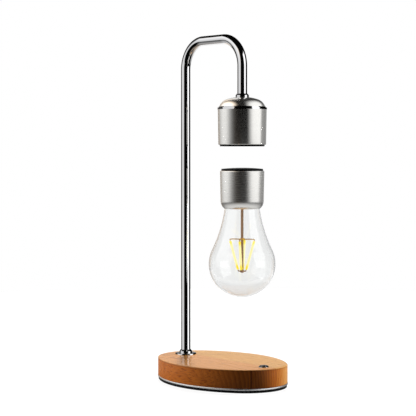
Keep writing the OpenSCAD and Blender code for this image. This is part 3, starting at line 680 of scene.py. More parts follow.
class FinishLibrary:
    """The lamp's finishes by the record's slots, each built once."""

    def __init__(self) -> None:
        """Builds every slot's material."""
        effects = Effects()
        finishes = {**self.metals(), **self.others()}
        self.materials = {slot: finishes[slot].material(slot.value, effects) for slot in Slot}

    @staticmethod
    def metals() -> dict[Slot, Finish]:
        """The metal finishes.

        Returns:
            A finish for each of their slots.
        """
        return {
            Slot.PLATE: MetalFinish(
                (0.9, 0.9, 0.91), (0.78, 0.78, 0.79), roughness=(0.22, 0.34), patch_scale=60.0,
                relief_scale=700.0, relief=0.00002, stretch=(0.1, 1.0, 8.0)),
            Slot.ZINC: MetalFinish((0.6, 0.61, 0.64), (0.48, 0.49, 0.53), roughness=(0.26, 0.42)),
            Slot.IRON: MetalFinish((0.27, 0.26, 0.26), (0.19, 0.18, 0.18), roughness=(0.42, 0.6)),
            Slot.BRASS: MetalFinish((0.72, 0.52, 0.22), (0.6, 0.41, 0.16), roughness=(0.22, 0.36)),
            Slot.CHROME: MetalFinish(
                (0.8, 0.8, 0.81), (0.76, 0.76, 0.77), roughness=(0.002, 0.003), patch_scale=30.0,
                relief_scale=300.0, relief=0.0000004),
            Slot.NICKEL: SatinFinish(
                (0.9, 0.89, 0.86), (0.86, 0.85, 0.82), metallic=0.96, roughness=(0.17, 0.2),
                relief_scale=60.0, relief=0.0000006, stretch=(0.5, 0.5, 60.0),
                coarse_top=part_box("cap_shell")[1].z, coarser=0.09),
            Slot.COPPER: MetalFinish(
                (0.68, 0.3, 0.13), (0.52, 0.2, 0.08), metallic=0.9, roughness=(0.28, 0.4), patch_scale=30.0,
                relief_scale=60.0, relief=0.0003, stretch=(1.0, 1.0, 40.0)),
            Slot.MAGNET: MetalFinish((0.68, 0.68, 0.7), (0.58, 0.58, 0.6), roughness=(0.14, 0.26)),
            Slot.BRONZE: MetalFinish(
                (0.34, 0.2, 0.11), (0.26, 0.15, 0.08), roughness=(0.24, 0.34), patch_scale=200.0,
                relief=0.00002, stretch=(1.0, 1.0, 0.1)),
            Slot.GOLD: MetalFinish(
                (0.62, 0.36, 0.03), (0.46, 0.26, 0.02), roughness=(0.26, 0.38), patch_scale=300.0),
        }

    @staticmethod
    def others() -> dict[Slot, Finish]:
        """The finishes of wood, glass, plastic and the filaments.

        Returns:
            A finish for each of their slots.
        """
        wood_low, wood_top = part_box("wood_base")
        glow_low, glow_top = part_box("filament_1")
        return {
            Slot.RUBBER: Finish(
                grey(0.004), grey(0.007), roughness=(0.62, 0.78), relief=0.0001, specular=0.12),
            Slot.WOOD: WoodFinish(
                (0.64, 0.295, 0.08), (0.5, 0.2, 0.05), roughness=(0.26, 0.36), specular=0.12,
                top=wood_top.z, low=wood_low.z),
            Slot.BOARD: Finish(
                (0.012, 0.11, 0.045), (0.03, 0.2, 0.08), roughness=(0.3, 0.42), patch_scale=260.0),
            Slot.PLASTIC: Finish((0.014, 0.014, 0.015), (0.022, 0.022, 0.023), roughness=(0.32, 0.46)),
            Slot.DISC: Finish(grey(0.003), grey(0.006), roughness=(0.34, 0.5), relief=0.00002, specular=0.08),
            Slot.NYLON: Finish((0.74, 0.72, 0.66), (0.68, 0.66, 0.6), roughness=(0.4, 0.52)),
            Slot.FILAMENT: GlowFinish((0.3, 0.24, 0.06), (0.26, 0.2, 0.05), low=glow_low.z, high=glow_top.z),
            Slot.GLASS: GlassFinish(
                (0.955, 0.96, 0.958), (0.945, 0.95, 0.948), roughness=(0.0, 0.0), patch_scale=20.0,
                relief_scale=16.0, relief=0.000004),
        }

    def dress_nodes(self, record: dict) -> None:
        """Gives every CAD node the finish that the record names for it.

        Args:
            record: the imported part's record.
        """
        for part in record["subparts"]:
            mesh = frame["nodes"][part["node"]].data
            mesh.materials.clear()
            mesh.materials.append(self.materials[Slot(part["material_slot"])])


def arc(centre: Point, radius: float, start: float, end: float, steps: int) -> list[Point]:
    """Points along an arc.

    Args:
        centre: the arc's centre.
        radius: its radius.
        start: the angle in radians where it begins.
        end: the angle where it ends.
        steps: the number of steps along it.

    Returns:
        The points, both ends among them.
    """
    angles = [start + (end - start) * step / steps for step in range(steps + 1)]
    return [(centre[0] + radius * math.cos(a), centre[1] + radius * math.sin(a)) for a in angles]


def softened(corners: Sequence[tuple[float, ...]], steps: int = 6) -> list[Point]:
    """A profile with its corners rounded.

    Args:
        corners: each corner's distance from the axis, its height and, for a round one, its radius.
        steps: the number of steps round a corner.

    Returns:
        The profile's points.
    """
    spots = [Vector(corner[:2]) for corner in corners]
    points: list[Point] = []
    for number, (here, corner) in enumerate(zip(spots, corners)):
        radius = sum(corner[2:])
        if not radius:
            points.append((here.x, here.y))
            continue
        back = (spots[number - 1] - here).normalized()
        ahead = (spots[(number + 1) % len(spots)] - here).normalized()
        half = back.angle(ahead) / 2
        middle = here + (back + ahead).normalized() * radius / math.sin(half)
        first = here + back * radius / math.tan(half) - middle
        turn = HALF_TURN - 2 * half
        side = 1.0 if first.y * back.x - first.x * back.y > 0 else -1.0
        start = math.atan2(first.y, first.x)
        points += arc((middle.x, middle.y), radius, start, start + side * turn, steps)
    return points


def middle_of(node: str) -> Vector:
    """The middle of a CAD node's box."""
    low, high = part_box(node)
    return (low + high) / 2


def half_width(node: str) -> float:
    """Half the width of a CAD node along X."""
    low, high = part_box(node)
    return (high.x - low.x) / 2


def upright(node: str) -> Matrix:
    """The place of a CAD node's upright axis in the lamp's middle plane."""
    return Matrix.Translation((middle_of(node).x, 0.0, 0.0))


def rearward(node: str) -> Matrix:
    """The place of a CAD node's axis that runs to the rear, along Y."""
    middle = middle_of(node)
    return Matrix.Translation((middle.x, 0.0, middle.z)) @ Matrix.Rotation(-QUARTER_TURN, 4, "X")


class Workshop:
    """Makes meshes into pieces of the lamp."""

    def __init__(self, library: FinishLibrary) -> None:
        """Keeps the finishes at hand and starts an empty list of pieces."""
        self.library = library
        self.pieces: list[tuple[Object, Body]] = []

    def mesh(self, name: str, points: Iterable[Vector], faces: Iterable[Sequence[int]]) -> Object:
        """Makes an object of points and faces, its normals outward.

        Args:
            name: the object's name.
            points: its corners.
            faces: the numbers of the corners round each face.

        Returns:
            The object, in the scene.
        """
        data = bpy.data.meshes.new(name)
        data.from_pydata([tuple(point) for point in points], [], [tuple(face) for face in faces])
        work = bmesh.new()
        work.from_mesh(data)
        bmesh.ops.recalc_face_normals(work, faces=work.faces)
        work.to_mesh(data)
        work.free()
        made = bpy.data.objects.new(name, data)
        bpy.context.scene.collection.objects.link(made)
        return made

    def revolved(self, name: str, corners: Sequence[tuple[float, ...]], place: Matrix, closed: bool,
                 steps: int) -> Object:
        """Turns a profile about an axis.

        Args:
            name: the object's name.
            corners: the profile's corners, as distances from the axis, heights along it and roundings.
            place: carries the axis from the origin's Z to its place.
            closed: joins the last point to the first; without it both ends lie on the axis.
            steps: the number of steps round the axis.

        Returns:
            The object.
        """
        points: list[Vector] = []
        rows: list[list[int]] = []
        for radius, height in softened(corners):
            first = len(points)
            if radius < ON_AXIS:
                points.append(place @ Vector((0.0, 0.0, height)))
                rows.append([first] * steps)
                continue
            for step in range(steps):
                turn = FULL_TURN * step / steps
                points.append(place @ Vector((radius * math.cos(turn), radius * math.sin(turn), height)))
            rows.append(list(range(first, first + steps)))
        faces: list[list[int]] = []
        pairs = list(zip(rows, rows[1:])) + ([(rows[-1], rows[0])] if closed else [])
        for low, high in pairs:
            for step in range(steps):
                ahead = (step + 1) % steps
                ring = [low[step], low[ahead], high[ahead], high[step]]
                face = [spot for number, spot in enumerate(ring) if spot != ring[number - 1]]
                if len(face) > 2:
                    faces.append(face)
        return self.mesh(name, points, faces)

    def hang(self, piece: Object, body: Body, slot: Slot, *nodes: str) -> None:
        """Dresses a piece, shades it and hangs it on a body.

        Args:
            piece: the finished mesh, in place.
            body: what it moves with.
            slot: the record's slot of its finish.
            nodes: the CAD nodes it stands for.
        """
        piece.data.materials.clear()
        piece.data.materials.append(self.library.materials[slot])
        piece.data.polygons.foreach_set("use_smooth", [True] * len(piece.data.polygons))
        piece.data.set_sharp_from_angle(angle=math.radians(CREASE))
        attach(piece, body.value)
        if nodes:
            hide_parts(*nodes)
        self.pieces.append((piece, body))

    def turned(self, name: str, corners: Sequence[tuple[float, ...]], place: Matrix, closed: bool, steps: int,
               body: Body, slot: Slot, *nodes: str) -> None:
        """Turns a profile and hangs the piece, with what revolved and hang are told."""
        self.hang(self.revolved(name, corners, place, closed, steps), body, slot, *nodes)

    def plain(self, host: Object) -> Object:
        """Swaps an object's modified shape in as its own mesh and drops its modifiers.

        Args:
            host: the object.

        Returns:
            The same object.
        """
        shape = host.evaluated_get(bpy.context.evaluated_depsgraph_get())
        data = bpy.data.meshes.new_from_object(shape)
        data.name = host.name
        host.modifiers.clear()
        host.data = data
        return host

    def cut(self, host: Object, cutters: Sequence[Object]) -> None:
        """Cuts the shapes of some objects out of another and removes those objects.

        Args:
            host: the object that is cut.
            cutters: the objects whose shapes are cut out.
        """
        for cutter in cutters:
            slot = host.modifiers.new(cutter.name, "BOOLEAN")
            slot.operation = "DIFFERENCE"
            slot.solver = "EXACT"
            slot.object = cutter
        self.plain(host)
        for cutter in cutters:
            bpy.data.objects.remove(cutter)


class GeometryTool:
    """A geometry node tree that makes round bars, built once and used on many hosts."""

    def __init__(self, name: str, inputs: dict[str, Socket]) -> None:
        """Starts the tree.

        Args:
            name: the tree's name.
            inputs: its own inputs, beside those that every tool has.
        """
        tree = bpy.data.node_groups.new(name, "GeometryNodeTree")
        shared = {"Radius": Socket.FLOAT, "Round Steps": Socket.INTEGER, "Finish": Socket.MATERIAL}
        titles = {"Geometry": Socket.GEOMETRY, **inputs, **shared}
        self.keys = {
            title: tree.interface.new_socket(title, in_out="INPUT", socket_type=kind.value).identifier
            for title, kind in titles.items()
        }
        tree.interface.new_socket("Geometry", in_out="OUTPUT", socket_type=Socket.GEOMETRY.value)
        self.graph = Graph(tree)
        entry = self.graph.node("NodeGroupInput")
        self.given = {socket.name: socket for socket in entry.outputs if socket.name}

    def swept(self, curve: NodeSocket) -> NodeSocket:
        """Sweeps a round outline along a curve.

        Args:
            curve: the curve.

        Returns:
            The mesh of the bar.
        """
        outline = self.graph.node("GeometryNodeCurvePrimitiveCircle", {
            "Resolution": self.given["Round Steps"], "Radius": self.given["Radius"]})
        bar = self.graph.node("GeometryNodeCurveToMesh", {
            "Curve": curve, "Profile Curve": outline.outputs["Curve"], "Fill Caps": True})
        return bar.outputs["Mesh"]

    def close(self, shape: NodeSocket) -> None:
        """Ends the tree: one real mesh, smooth shading, its finish.

        Args:
            shape: the tree's geometry.
        """
        graph = self.graph
        real = graph.node("GeometryNodeRealizeInstances", {"Geometry": shape})
        smooth = graph.node("GeometryNodeSetShadeSmooth", {"Geometry": real.outputs["Geometry"]})
        dressed = graph.node("GeometryNodeSetMaterial", {
            "Geometry": smooth.outputs["Geometry"], "Material": self.given["Finish"]})
        graph.node("NodeGroupOutput", {"Geometry": dressed.outputs["Geometry"]})

    def apply(self, shop: Workshop, name: str, path: Sequence[Triple], values: dict[str, object]) -> Object:
        """Runs the tree on a path.

        Args:
            shop: makes the plain mesh.
            name: the object's name.
            path: the corners of the path.
            values: a value for each of the tree's inputs.

        Returns:
            The object with the tree's result as its plain mesh.
        """
        data = bpy.data.meshes.new(name)
        data.from_pydata(path, [(number, number + 1) for number in range(len(path) - 1)], [])
        host = bpy.data.objects.new(name, data)
        bpy.context.scene.collection.objects.link(host)
        slot = host.modifiers.new("shape", "NODES")
        slot.node_group = self.graph.tree
        for title, value in values.items():
            slot[self.keys[title]] = value
        return shop.plain(host)


class BentBars(GeometryTool):
    """A bent round bar, set once or several times round an upright axis."""

    def __init__(self) -> None:
        """Builds the tree."""
        super().__init__("bent_bars", {
            "Bend Radius": Socket.FLOAT, "Bend Steps": Socket.INTEGER, "Count": Socket.INTEGER,
            "First Turn": Socket.FLOAT, "Axis": Socket.VECTOR})
        graph, given = self.graph, self.given
        path = graph.node("GeometryNodeMeshToCurve", {"Mesh": given["Geometry"]})
        bends = graph.node("GeometryNodeFilletCurve", {
            "Curve": path.outputs["Curve"], "Count": given["Bend Steps"], "Radius": given["Bend Radius"]},
            mode="POLY")
        spots = graph.node("GeometryNodePoints", {"Count": given["Count"], "Position": given["Axis"]})
        number = graph.signal("GeometryNodeInputIndex", "Index")
        share = graph.signal("ShaderNodeMath", "Value", {0: FULL_TURN, 1: given["Count"]}, operation="DIVIDE")
        turned = graph.node("ShaderNodeCombineXYZ", {"Z": (number * share).calc("ADD", given["First Turn"])})
        placed = graph.node("GeometryNodeInstanceOnPoints", {
            "Points": spots.outputs[0], "Instance": self.swept(bends.outputs["Curve"]),
            "Rotation": turned.outputs["Vector"]})
        self.close(placed.outputs["Instances"])


class CoiledWire(GeometryTool):
    """A round wire wound into an upright coil."""

    def __init__(self) -> None:
        """Builds the tree."""
        super().__init__("coiled_wire", {
            "Coil Radius": Socket.FLOAT, "Turns": Socket.FLOAT, "Rise": Socket.FLOAT, "Foot": Socket.VECTOR,
            "Turn Steps": Socket.INTEGER})
        graph, given = self.graph, self.given
        coil = graph.node("GeometryNodeCurveSpiral", {
            "Resolution": given["Turn Steps"], "Rotations": given["Turns"], "Height": given["Rise"],
            "Start Radius": given["Coil Radius"], "End Radius": given["Coil Radius"]})
        placed = graph.node("GeometryNodeSetPosition", {
            "Geometry": coil.outputs["Curve"], "Offset": given["Foot"]})
        self.close(self.swept(placed.outputs["Geometry"]))


@dataclass
class Assembly:
    """A sub-assembly of the lamp, or its stage."""

    shop: Workshop  # makes its pieces and hangs them

    def build(self) -> None:
        """Builds the pieces."""
        raise NotImplementedError


@dataclass
class LampBase(Assembly):
    """The oval wooden base."""

    length: float = 0.160  # length along X
    width: float = 0.112  # width along Y
    end_radius: float = 0.044  # radius of its round ends
    edge: float = 0.001  # radius of the wood's upper edge
    low_edge: float = 0.0005  # radius of its lower edge
    top_inset: float = 0.004  # how far the top's inner face is drawn in
    wall: float = 0.011  # thickness round the hollow
    roof: float = 0.006  # thickness above the hollow
    post_hole: float = 0.0103  # diameter of the tube's hole
    switch_hole: float = 0.0092  # diameter of the switch's hole
    inlet_hole: float = 0.0083  # diameter of the power inlet's hole
    inlet_seat: float = 0.0112  # diameter of the seat of its flange
    inlet_start: float = 0.028  # how far behind the middle its hole begins
    seat_depth: float = 0.0012  # how far behind the inlet's face that seat lies
    foot_inset: float = 0.0006  # how far the rubber foot stands back from the wood
    foot_edge: float = 0.0005  # rounding of its lower edge
    foot_tread: float = 0.007  # width of the rim that it stands on
    foot_hollow: float = 0.0006  # depth of the hollow inside that rim
    end_steps: int = 28  # steps round each end of the oval
    side_steps: int = 44  # steps along each side
    edge_steps: int = 6  # steps over the upper edge and the foot's edge
    low_edge_steps: int = 4  # steps over the wood's lower edge
    hole_steps: int = 48  # steps round a hole

    def build(self) -> None:
        """Builds the wood and the rubber foot under it."""
        self.build_wood()
        self.build_foot()

    def outline(self, inset: float, z: float) -> list[Vector]:
        """The oval of four arcs.

        Args:
            inset: how far it is drawn in.
            z: its height.

        Returns:
            The oval's points.
        """
        end_centre = self.length / 2 - self.end_radius
        half = self.width / 2
        drop = (end_centre ** 2 - (half - self.end_radius) ** 2) / (2 * (half - self.end_radius))
        side_radius = half + drop
        turn = math.atan2(drop, end_centre)
        arcs = (
            ((end_centre, 0.0), self.end_radius, -turn, turn, self.end_steps),
            ((0.0, -drop), side_radius, turn, HALF_TURN - turn, self.side_steps),
            ((-end_centre, 0.0), self.end_radius, HALF_TURN - turn, HALF_TURN + turn, self.end_steps),
            ((0.0, drop), side_radius, HALF_TURN + turn, FULL_TURN - turn, self.side_steps),
        )
        points: list[Point] = []
        for centre, radius, start, end, steps in arcs:
            points += arc(centre, radius - inset, start, end, steps)[:-1]
        return [Vector((x, y, z)) for x, y in points]

    def lofted(self, name: str, levels: Sequence[Point]) -> Object:
        """Joins ovals into one closed shape.

        Args:
            name: the object's name.
            levels: each oval's inset and height, from the top round to the inside.

        Returns:
            The object.
        """
        rows = [self.outline(inset, z) for inset, z in levels]
        count = len(rows[0])
        faces = [
            (row * count + step, row * count + (step + 1) % count,
             (row + 1) * count + (step + 1) % count, (row + 1) * count + step)
            for row in range(len(rows) - 1) for step in range(count)
        ]
        last = (len(rows) - 1) * count
        faces += [tuple(range(count)), tuple(range(last, last + count))]
        return self.shop.mesh(name, [point for row in rows for point in row], faces)

    def build_wood(self) -> None:
        """Builds the wood with its holes."""
        low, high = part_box("wood_base")
        upper = arc((0.0, high.z - self.edge), self.edge, QUARTER_TURN, 0.0, self.edge_steps)
        lower = arc((0.0, low.z + self.low_edge), self.low_edge, 0.0, -QUARTER_TURN, self.low_edge_steps)
        ceiling = high.z - self.roof
        wood = self.lofted("wood_body", [
            (self.top_inset, high.z), *((self.edge - r, z) for r, z in upper),
            *((self.low_edge - r, z) for r, z in lower), (self.wall, low.z), (self.wall, ceiling)])
        under, over = ceiling - self.roof, high.z + self.roof
        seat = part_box("power_jack")[1].y - self.seat_depth
        holes = (
            ("post_hole", self.post_hole, under, over, upright("post_flange")),
            ("switch_hole", self.switch_hole, under, over, upright("button_bezel")),
            ("inlet_hole", self.inlet_hole, self.inlet_start, self.width, rearward("power_jack")),
            ("inlet_seat", self.inlet_seat, seat, self.width, rearward("power_jack")),
        )
        self.shop.cut(wood, [
            self.shop.revolved(name, [(0.0, start), (bore / 2, start), (bore / 2, end), (0.0, end)], axis,
                               False, self.hole_steps)
            for name, bore, start, end, axis in holes])
        wood.visible_glossy = False
        self.shop.hang(wood, Body.STAND, Slot.WOOD, "wood_base")

    def build_foot(self) -> None:
        """Builds the rubber foot, which stands on the rim round its hollow underside."""
        low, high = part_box("grip_pad")
        corner = self.foot_inset + self.foot_edge
        bead = arc((0.0, low.z + self.foot_edge), self.foot_edge, 0.0, -QUARTER_TURN, self.edge_steps)
        tread = corner + self.foot_tread
        foot = self.lofted("rubber_foot", [
            (self.wall, high.z), (self.foot_inset, high.z), *((corner - r, z) for r, z in bead),
            (tread, low.z), (tread + self.foot_hollow, low.z + self.foot_hollow)])
        self.shop.hang(foot, Body.STAND, Slot.RUBBER, "grip_pad")


@dataclass
class PushSwitch(Assembly):
    """The round push switch on the base."""

    bore: float = 0.0078  # diameter of the bezel's hole
    barrel: float = 0.009  # diameter of its threaded barrel
    land: float = 0.0003  # height of the bezel's upright edge
    slope: float = 0.0009  # width of the slope above it
    lip: float = 0.0001  # rounding of the bezel's corners
    button_edge: float = 0.0006  # rounding of the button's edge
    head: float = 0.0033  # height of the button's head
    stem: float = 0.0026  # diameter of its stem
    crown: float = 0.0002  # how far its top rises to the middle
    wire: float = 0.0005  # diameter of the spring's wire
    turns: float = 5.0  # number of the spring's turns
    steps: int = 64  # steps round bezel and button
    turn_steps: int = 24  # steps round a turn of the spring
    wire_steps: int = 10  # steps round its wire

    def build(self) -> None:
        """Builds the bezel, the button and the spring under it."""
        self.build_bezel()
        self.build_button()
        self.build_spring()

    def build_bezel(self) -> None:
        """Builds the bezel with its sloping edge."""
        low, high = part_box("button_bezel")
        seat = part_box("wood_base")[1].z
        hole, barrel, rim = self.bore / 2, self.barrel / 2, half_width("button_bezel")
        self.shop.turned("switch_bezel", [
            (hole, high.z, self.lip), (hole, low.z), (barrel, low.z), (barrel, seat), (rim, seat),
            (rim, seat + self.land, self.lip), (rim - self.slope, high.z, self.lip),
        ], upright("button_bezel"), True, self.steps, Body.STAND, Slot.CHROME, "button_bezel")

    def build_button(self) -> None:
        """Builds the button's head with its low crown, and its stem."""
        low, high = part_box("button_cap")
        stem, half, neck = self.stem / 2, half_width("button_cap"), high.z - self.head
        self.shop.turned("push_button", [
            (0.0, low.z), (stem, low.z), (stem, neck), (half, neck),
            (half, high.z - self.crown, self.button_edge), (0.0, high.z),
        ], upright("button_cap"), False, self.steps, Body.BUTTON, Slot.CHROME, "button_cap")

    def build_spring(self) -> None:
        """Builds the coil spring; the button's travel is read, but the spring is not shortened by it."""
        low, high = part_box("button_spring")
        middle, tall = (low + high) / 2, high.z - low.z
        travel = next(joint for joint in frame["joints"] if joint["name"] == "button_press")["range_m"][1]
        spring = CoiledWire().apply(self.shop, "switch_spring", [(0.0, 0.0, 0.0)], {
            "Radius": self.wire / 2, "Coil Radius": half_width("button_spring") - self.wire / 2,
            "Turns": self.turns, "Rise": tall - self.wire, "Turn Steps": self.turn_steps,
            "Foot": (middle.x, middle.y, low.z + self.wire / 2), "Round Steps": self.wire_steps,
            "Finish": self.shop.library.materials[Slot.ZINC]})
        self.shop.hang(spring, Body.STAND, Slot.ZINC, "button_spring")
        1.0 - travel / tall
        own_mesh(spring)


@dataclass
class PowerInlet(Assembly):
    """The socket for the supply's plug in the rear side."""

    barrel: float = 0.008  # diameter of its barrel
    flange: float = 0.0012  # thickness of its front flange
    bore: float = 0.0063  # diameter of the plug's hole
    depth: float = 0.0095  # depth of that hole
    pin: float = 0.0021  # diameter of the pin in the hole
    pin_set: float = 0.001  # how far the pin ends behind the face
    edge: float = 0.0003  # rounding of its edges
    steps: int = 64  # steps round its axis

    def build(self) -> None:
        """Builds the socket with its pin."""
        end, face = (corner.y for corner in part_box("power_jack"))
        barrel, hole, pin, rim = self.barrel / 2, self.bore / 2, self.pin / 2, half_width("power_jack")
        seat, floor, tip = face - self.flange, face - self.depth, face - self.pin_set
        self.shop.turned("power_socket", [
            (0.0, end), (barrel, end), (barrel, seat), (rim, seat), (rim, face, self.edge),
            (hole, face, self.edge), (hole, floor), (pin, floor), (pin, tip, self.edge), (0.0, tip),
        ], rearward("power_jack"), False, self.steps, Body.STAND, Slot.PLASTIC, "power_jack")


@dataclass
class LampArm(Assembly):
    """The bent tube that carries the magnet cup, with its two collars."""

    tube: float = 0.010  # diameter of the tube
    bend: float = 0.029  # radius of the bends' centre line
    collar: float = 0.0136  # diameter of the collars
    collar_height: float = 0.002  # height of a collar's straight part
    slope: float = 0.0016  # height of its sloped part
    neck: float = 0.011  # diameter of a collar's top
    bore: float = 0.0102  # diameter of the tube's hole in the collars
    collar_edge: float = 0.0002  # rounding of the collars' edges
    flange_edge: float = 0.0006  # rounding of the flange's edge
    steps: int = 96  # steps round the flange and collars
    bend_steps: int = 40  # steps round a bend
    tube_steps: int = 64  # steps round the tube

    def build(self) -> None:
        """Builds the tube, the flange on the base and the collar on the cup."""
        post, drop = middle_of("post_flange").x, middle_of("drop_collar").x
        low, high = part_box("arm_tube")
        top, end = high.z - self.tube / 2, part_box("drop_nut")[0].z
        path = [(post, 0.0, low.z), (post, 0.0, top), (drop, 0.0, top), (drop, 0.0, end)]
        tube = BentBars().apply(self.shop, "arm_bar", path, {
            "Radius": self.tube / 2, "Bend Radius": self.bend, "Bend Steps": self.bend_steps,
            "Round Steps": self.tube_steps, "Count": 1, "Finish": self.shop.library.materials[Slot.CHROME]})
        self.shop.hang(tube, Body.STAND, Slot.CHROME, "arm_tube")
        self.build_flange()
        self.build_collar()

    def collar_profile(self, seat: float) -> list[tuple[float, ...]]:
        """The outside of a collar upward from its seat.

        Args:
            seat: the seat's height.

        Returns:
            The profile's corners.
        """
        shoulder = seat + self.collar_height
        top = shoulder + self.slope
        return [(self.collar / 2, seat, self.collar_edge), (self.collar / 2, shoulder, self.collar_edge),
                (self.neck / 2, top, self.collar_edge), (self.bore / 2, top)]

    def build_flange(self) -> None:
        """Builds the flange that the tube stands in."""
        low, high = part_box("post_flange")
        rim, seat = half_width("post_flange"), high.z - self.collar_height - self.slope
        self.shop.turned("foot_flange", [
            (self.bore / 2, low.z), (rim, low.z), (rim, seat, self.flange_edge), *self.collar_profile(seat),
        ], upright("post_flange"), True, self.steps, Body.STAND, Slot.CHROME, "post_flange")

    def build_collar(self) -> None:
        """Builds the collar on the magnet cup."""
        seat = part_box("drop_collar")[0].z
        profile = [(self.bore / 2, seat), *self.collar_profile(seat)]
        self.shop.turned("cup_collar", profile, upright("drop_collar"), True, self.steps, Body.STAND,
                         Slot.CHROME, "drop_collar")


@dataclass
class MagnetCup(Assembly):
    """The cup with the magnet at the arm's end."""

    wall: float = 0.0014  # thickness of the cup and its cover
    crown: float = 0.051  # radius of the cover's crown
    shoulder: float = 0.0124  # radius of its shoulder
    cover_rim: float = 0.0235  # radius of the cover at its rim
    collar: float = 0.0136  # diameter of the collar that sits on it
    bore: float = 0.0104  # diameter of the tube's hole
    ring_bead: float = 0.0019  # height of the trim ring's bead
    bead_edge: float = 0.0003  # rounding of the bead
    groove: float = 0.024  # radius of the ring above its bead
    ring_wall: float = 0.0012  # thickness of the ring
    foot: float = 0.02435  # radius of the cup at its lower end
    top: float = 0.0249  # radius of the cup at its upper end
    foot_edge: float = 0.0006  # rounding of the cup's lower edge
    face_lap: float = 0.002  # how far the black face laps over the cup's floor
    steps: int = 144  # steps round the axis
    crown_steps: int = 8  # steps along the crown
    shoulder_steps: int = 20  # steps along the shoulder
    axis: Matrix = field(default_factory=lambda: upright("cup_shell"))  # place of the cup's axis

    def build(self) -> None:
        """Builds the cover, the ring, the cup and the black face."""
        self.build_cover()
        self.build_ring()
        self.build_cup()

    def cover_curve(self, rim_z: float, seat_z: float, inset: float) -> list[Point]:
        """The cover's crown and shoulder from its seat down to its rim.

        Args:
            rim_z: the rim's height.
            seat_z: the height of the flat seat under the collar.
            inset: how far the curve lies inside the outer surface.

        Returns:
            The curve's points.
        """
        seat_r = self.collar / 2
        centre = seat_z - math.sqrt(self.crown ** 2 - seat_r ** 2)
        reach = self.crown - self.shoulder
        rise = rim_z - centre
        span = math.hypot(self.cover_rim, rise)
        along = (reach ** 2 - self.shoulder ** 2 + span ** 2) / (2 * span)
        aside = math.sqrt(reach ** 2 - along ** 2)
        lean = Vector((self.cover_rim, rise)) / span
        spot = lean * along + Vector((-lean.y, lean.x)) * aside
        turn = math.atan2(spot.y, spot.x)
        rim_turn = math.asin((rise - spot.y) / self.shoulder)
        start = math.acos(seat_r / self.crown)
        crown = arc((0.0, centre), self.crown - inset, start, turn, self.crown_steps)
        shoulder = arc((spot.x, spot.y + centre), self.shoulder - inset, turn, rim_turn, self.shoulder_steps)
        return crown + shoulder[1:]

    def build_cover(self) -> None:
        """Builds the domed cover."""
        rim_z, seat_z = (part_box(node)[0].z for node in ("dome_cover", "drop_collar"))
        outside = self.cover_curve(rim_z, seat_z, 0.0)
        inside = [(r, max(z, rim_z)) for r, z in reversed(self.cover_curve(rim_z, seat_z, self.wall))]
        profile = [(self.bore / 2, seat_z), *outside, *inside, (self.bore / 2, inside[-1][1])]
        self.shop.turned("cup_cover", profile, self.axis, True, self.steps, Body.STAND, Slot.NICKEL,
                         "dome_cover")

    def build_ring(self) -> None:
        """Builds the polished trim ring."""
        low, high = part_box("trim_ring")
        rim, seat, top = half_width("trim_ring"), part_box("cup_shell")[1].z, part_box("dome_cover")[0].z
        outer = self.cover_rim - self.wall
        inner, bead = outer - self.ring_wall, seat + self.ring_bead
        self.shop.turned("trim_band", [
            (inner, low.z), (outer, low.z), (outer, seat), (rim, seat), (rim, bead, self.bead_edge),
            (self.groove, bead), (self.groove, top), (outer, top), (outer, high.z), (inner, high.z),
        ], self.axis, True, self.steps, Body.STAND, Slot.CHROME, "trim_ring")

    def build_cup(self) -> None:
        """Builds the cup's shell and the black face in its floor."""
        low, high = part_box("cup_shell")
        face_low, face_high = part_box("face_disc")
        face, floor = half_width("face_disc"), low.z + self.wall
        hole = face - self.face_lap
        plug, edge = hole - FIT, (low.z - face_low.z) * THIN_EDGE
        self.shop.turned("cup_wall", [
            (self.top, high.z), (self.foot, low.z, self.foot_edge), (hole, low.z), (hole, floor),
            (self.foot - self.wall, floor), (self.top - self.wall, high.z),
        ], self.axis, True, self.steps, Body.STAND, Slot.NICKEL, "cup_shell")
        self.shop.turned("face_plate", [
            (0.0, face_low.z), (face, face_low.z, edge), (face, low.z), (plug, low.z), (plug, face_high.z),
            (0.0, face_high.z),
        ], self.axis, False, self.steps, Body.STAND, Slot.DISC, "face_disc")


